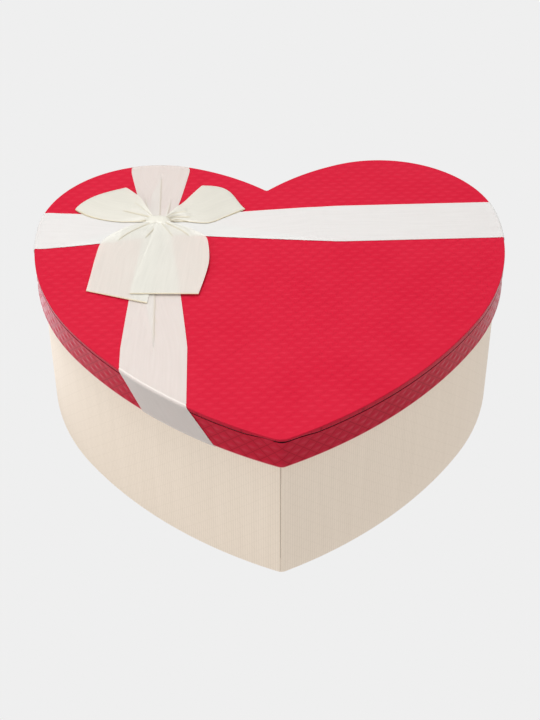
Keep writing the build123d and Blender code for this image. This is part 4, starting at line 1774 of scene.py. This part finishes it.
TAIL_RIGHT = BowPiece(
    name="bow_tail_right",
    near=(
        (-2.0, 1.6, 3.0), (-3.5, -8.0, 3.0), (-5.5, -17.4, 2.8), (-7.6, -27.6, 2.5), (-9.8, -36.8, 2.3),
        (-12.0, -46.9, 2.1), (-14.2, -56.9, 1.9), (-16.0, -68.1, 1.8),
    ),
    far=(
        (3.0, 4.0, 3.2), (12.0, -2.4, 4.0), (22.0, -8.3, 3.8), (28.9, -14.3, 3.4), (30.9, -23.9, 3.2),
        (31.0, -40.1, 3.0), (28.2, -55.6, 2.4), (24.6, -70.1, 1.8),
    ),
    pleats=(Pleat(0.5, 0.6, 0.34), Pleat(0.78, 1.0, 0.42, False)),
    creases=(
        Crease(0.86, 0.07, 0.4, 0.06, 0.44), Crease(0.7, 0.07, -0.3, 0.04, 0.4),
        Crease(0.46, 0.09, 0.3, 0.0, 0.42), Crease(0.3, 0.06, -0.2, 0.0, 0.36),
    ),
    flat_length=82.0,
    end_shade_tone=0.8,
    hold=Hold.GATHERED,
    rests_on=("long_ribbon_satin", "bow_tail_left_ribbon"),
)

CROSS_ARMS = (
    Arm((-1.0, 0.0), 70.0, 0.57, 0.6, hem_under=62.0, hem_on_left=True),
    Arm((1.0, 0.0), 112.0, 0.5, 0.9, hem_under=104.0),
)
FRONT_PLEATS = (Pleat(0.5, 1.0, 128.0, least=1.6),)
BACK_PLEATS = (
    Pleat(0.22, 0.25, 34.0, False), Pleat(0.48, 1.0, 62.0, False, 0.8), Pleat(0.84, 0.25, 38.0),
)
LONG_ARMS = (
    Arm((-0.0075, -0.99997), 116.0, 0.8, 0.58, FRONT_PLEATS, ridge=0.16),
    Arm((0.0, 1.0), 62.0, 0.8, 0.8, BACK_PLEATS),
)


# Studio


@dataclass(frozen=True)
class SoftLight:
    """A square soft light and the point that it faces. Metres and watts."""

    name: str
    place: tuple[float, float, float]
    size: float
    watts: float
    aim: tuple[float, float, float] = (0.0, 0.0, 0.1)
    tint: str = "#ffffff"

    def build(self) -> None:
        """Puts the light in its place."""
        data = bpy.data.lights.new(self.name, "AREA")
        data.size = self.size
        data.energy = self.watts
        data.color = linear(self.tint)[:3]
        lamp = bpy.data.objects.new(self.name, data)
        lamp.location = self.place
        lamp.rotation_euler = (Vector(self.aim) - Vector(self.place)).to_track_quat("-Z", "Y").to_euler()
        bpy.context.scene.collection.objects.link(lamp)


@dataclass
class Studio:
    """Pale light table, soft light and the photograph's camera. Metres and degrees.

    The lights stand behind, above and to the left, and a pale card lies low beside the left flank.
    """

    azimuth: float = -1.87
    elevation: float = 40.59
    roll: float = -0.34
    focal_pixels: float = 1549.3
    frame_height: int = 720
    sensor: float = 36.0
    clip: tuple[float, float] = (0.05, 50.0)
    centre: tuple[float, float, float] = (-0.0256, -0.7287, 0.6759)
    floor_size: float = 60.0
    floor_drop: float = 0.0002
    floor_grey: str = "#efefef"
    horizon: float = 0.41
    zenith: float = 0.69
    lights: tuple[SoftLight, ...] = (
        SoftLight("back_softbox", (-0.3, 0.8, 1.5), 0.9, 3.5),
        SoftLight("overhead", (-0.25, -0.05, 1.5), 0.45, 12.5),
        SoftLight("left_fill", (-1.3, -0.5, 0.9), 0.9, 3.8),
        SoftLight("left_card", (-0.265, 0.03, 0.004), 0.19, 0.082, (-0.265, 0.03, 1.0), "#e6f0ff"),
    )

    def build(self) -> None:
        """Sets up the floor, the room, the lights and the camera."""
        self.floor()
        self.room()
        for light in self.lights:
            light.build()
        self.camera()

    def floor(self) -> None:
        """A light table of opal acrylic: it glows evenly, so the box casts no hard shadow."""
        deselect()
        bpy.ops.mesh.primitive_plane_add(size=self.floor_size)
        table = bpy.context.object
        table.name = table.data.name = "light_table"
        table.location.z = -self.floor_drop
        material, tree = start_material("opal_acrylic_light_table")
        end_material(tree, "Emission", {"Color": linear(self.floor_grey), "Strength": 1.0})
        table.data.materials.append(material)

    def room(self) -> None:
        """An even pale room, brighter towards its ceiling."""
        world = bpy.data.worlds.new("pale_room")
        bpy.context.scene.world = world
        world.use_nodes = True
        tree = world.node_tree
        tree.nodes.clear()
        way = add_node(tree, "TexCoord", {})["Generated"]
        climb = add_node(tree, "SeparateXYZ", {0: way})[2]
        light = add_node(tree, "MapRange", {0: climb, 1: 0.0, 2: 1.0, 3: self.horizon, 4: self.zenith})[0]
        sky = add_node(tree, "Background", {"Color": linear("#ffffff"), "Strength": light})[0]
        add_node(tree, "OutputWorld", {"Surface": sky})

    def camera(self) -> None:
        """The camera that the photograph was taken with, fitted to the heart's outline."""
        a, e, r = (math.radians(x) for x in (self.azimuth, self.elevation, self.roll))
        back = Vector((math.sin(a) * math.cos(e), -math.cos(a) * math.cos(e), math.sin(e)))
        level = Vector((math.cos(a), math.sin(a), 0.0))
        up = back.cross(level)
        right = math.cos(r) * level + math.sin(r) * up
        top = math.cos(r) * up - math.sin(r) * level
        data = bpy.data.cameras.new("photograph")
        data.sensor_width = self.sensor
        data.lens = self.focal_pixels / self.frame_height * self.sensor
        data.clip_start, data.clip_end = self.clip
        camera = bpy.data.objects.new("photograph", data)
        turn = Matrix((right, top, back)).transposed().to_4x4()
        camera.matrix_world = Matrix.Translation(self.centre) @ turn
        bpy.context.scene.collection.objects.link(camera)
        bpy.context.scene.camera = camera
        bpy.context.scene.view_settings.view_transform = "Standard"


# Nodes that keep their own shape


NODE_FINISHES: dict[FibrePaper, tuple[str, ...]] = {
    GREYBOARD: (
        "base_floor_board", "base_wall_board_left", "base_wall_board_right", "lid_panel_board",
        "lid_rim_board_left", "lid_rim_board_right",
    ),
    GUMMED: ("base_tip_stay", "base_cleft_stay", "lid_tip_stay", "lid_cleft_stay"),
    LINING: ("base_wall_lining", "base_floor_lining", "lid_rim_lining", "lid_panel_lining"),
    UNDERSIDE: ("base_bottom_sheet",),
    FILM: ("ribbon_end_tape",),
}


def dress_nodes(nodes: dict[str, bpy.types.Object]) -> None:
    """Gives the boards, linings and tapes their finishes.

    Args:
        nodes: the frame's nodes by name.
    """
    for finish, names in NODE_FINISHES.items():
        material = finish.material()
        for name in names:
            nodes[name].data.materials.clear()
            nodes[name].data.materials.append(material)
            LOG.info("%s: %s", name, finish.name)


def main() -> None:
    """Loads the frame and builds every sub-assembly round it."""
    logging.basicConfig(level=logging.INFO, format="%(message)s")
    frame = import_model()
    Studio().build()
    dress_nodes(frame["nodes"])
    LidCover().build()
    BaseWrap().build()
    cross = LidRibbon("cross_ribbon_satin", CROSS_ARMS, flat_length=360.0)
    cross.build(CROSS_SATIN, "cross_ribbon", ["lid_top_cover"])
    long = LidRibbon("long_ribbon_satin", LONG_ARMS, flat_length=310.0, lift=0.5)
    long.build(STRAP_SATIN, "long_ribbon", ["lid_top_cover", "cross_ribbon_satin"])
    Bow((LOOP_LEFT, LOOP_RIGHT, TAIL_LEFT, TAIL_RIGHT)).build()


if __name__ == "__main__":
    main()
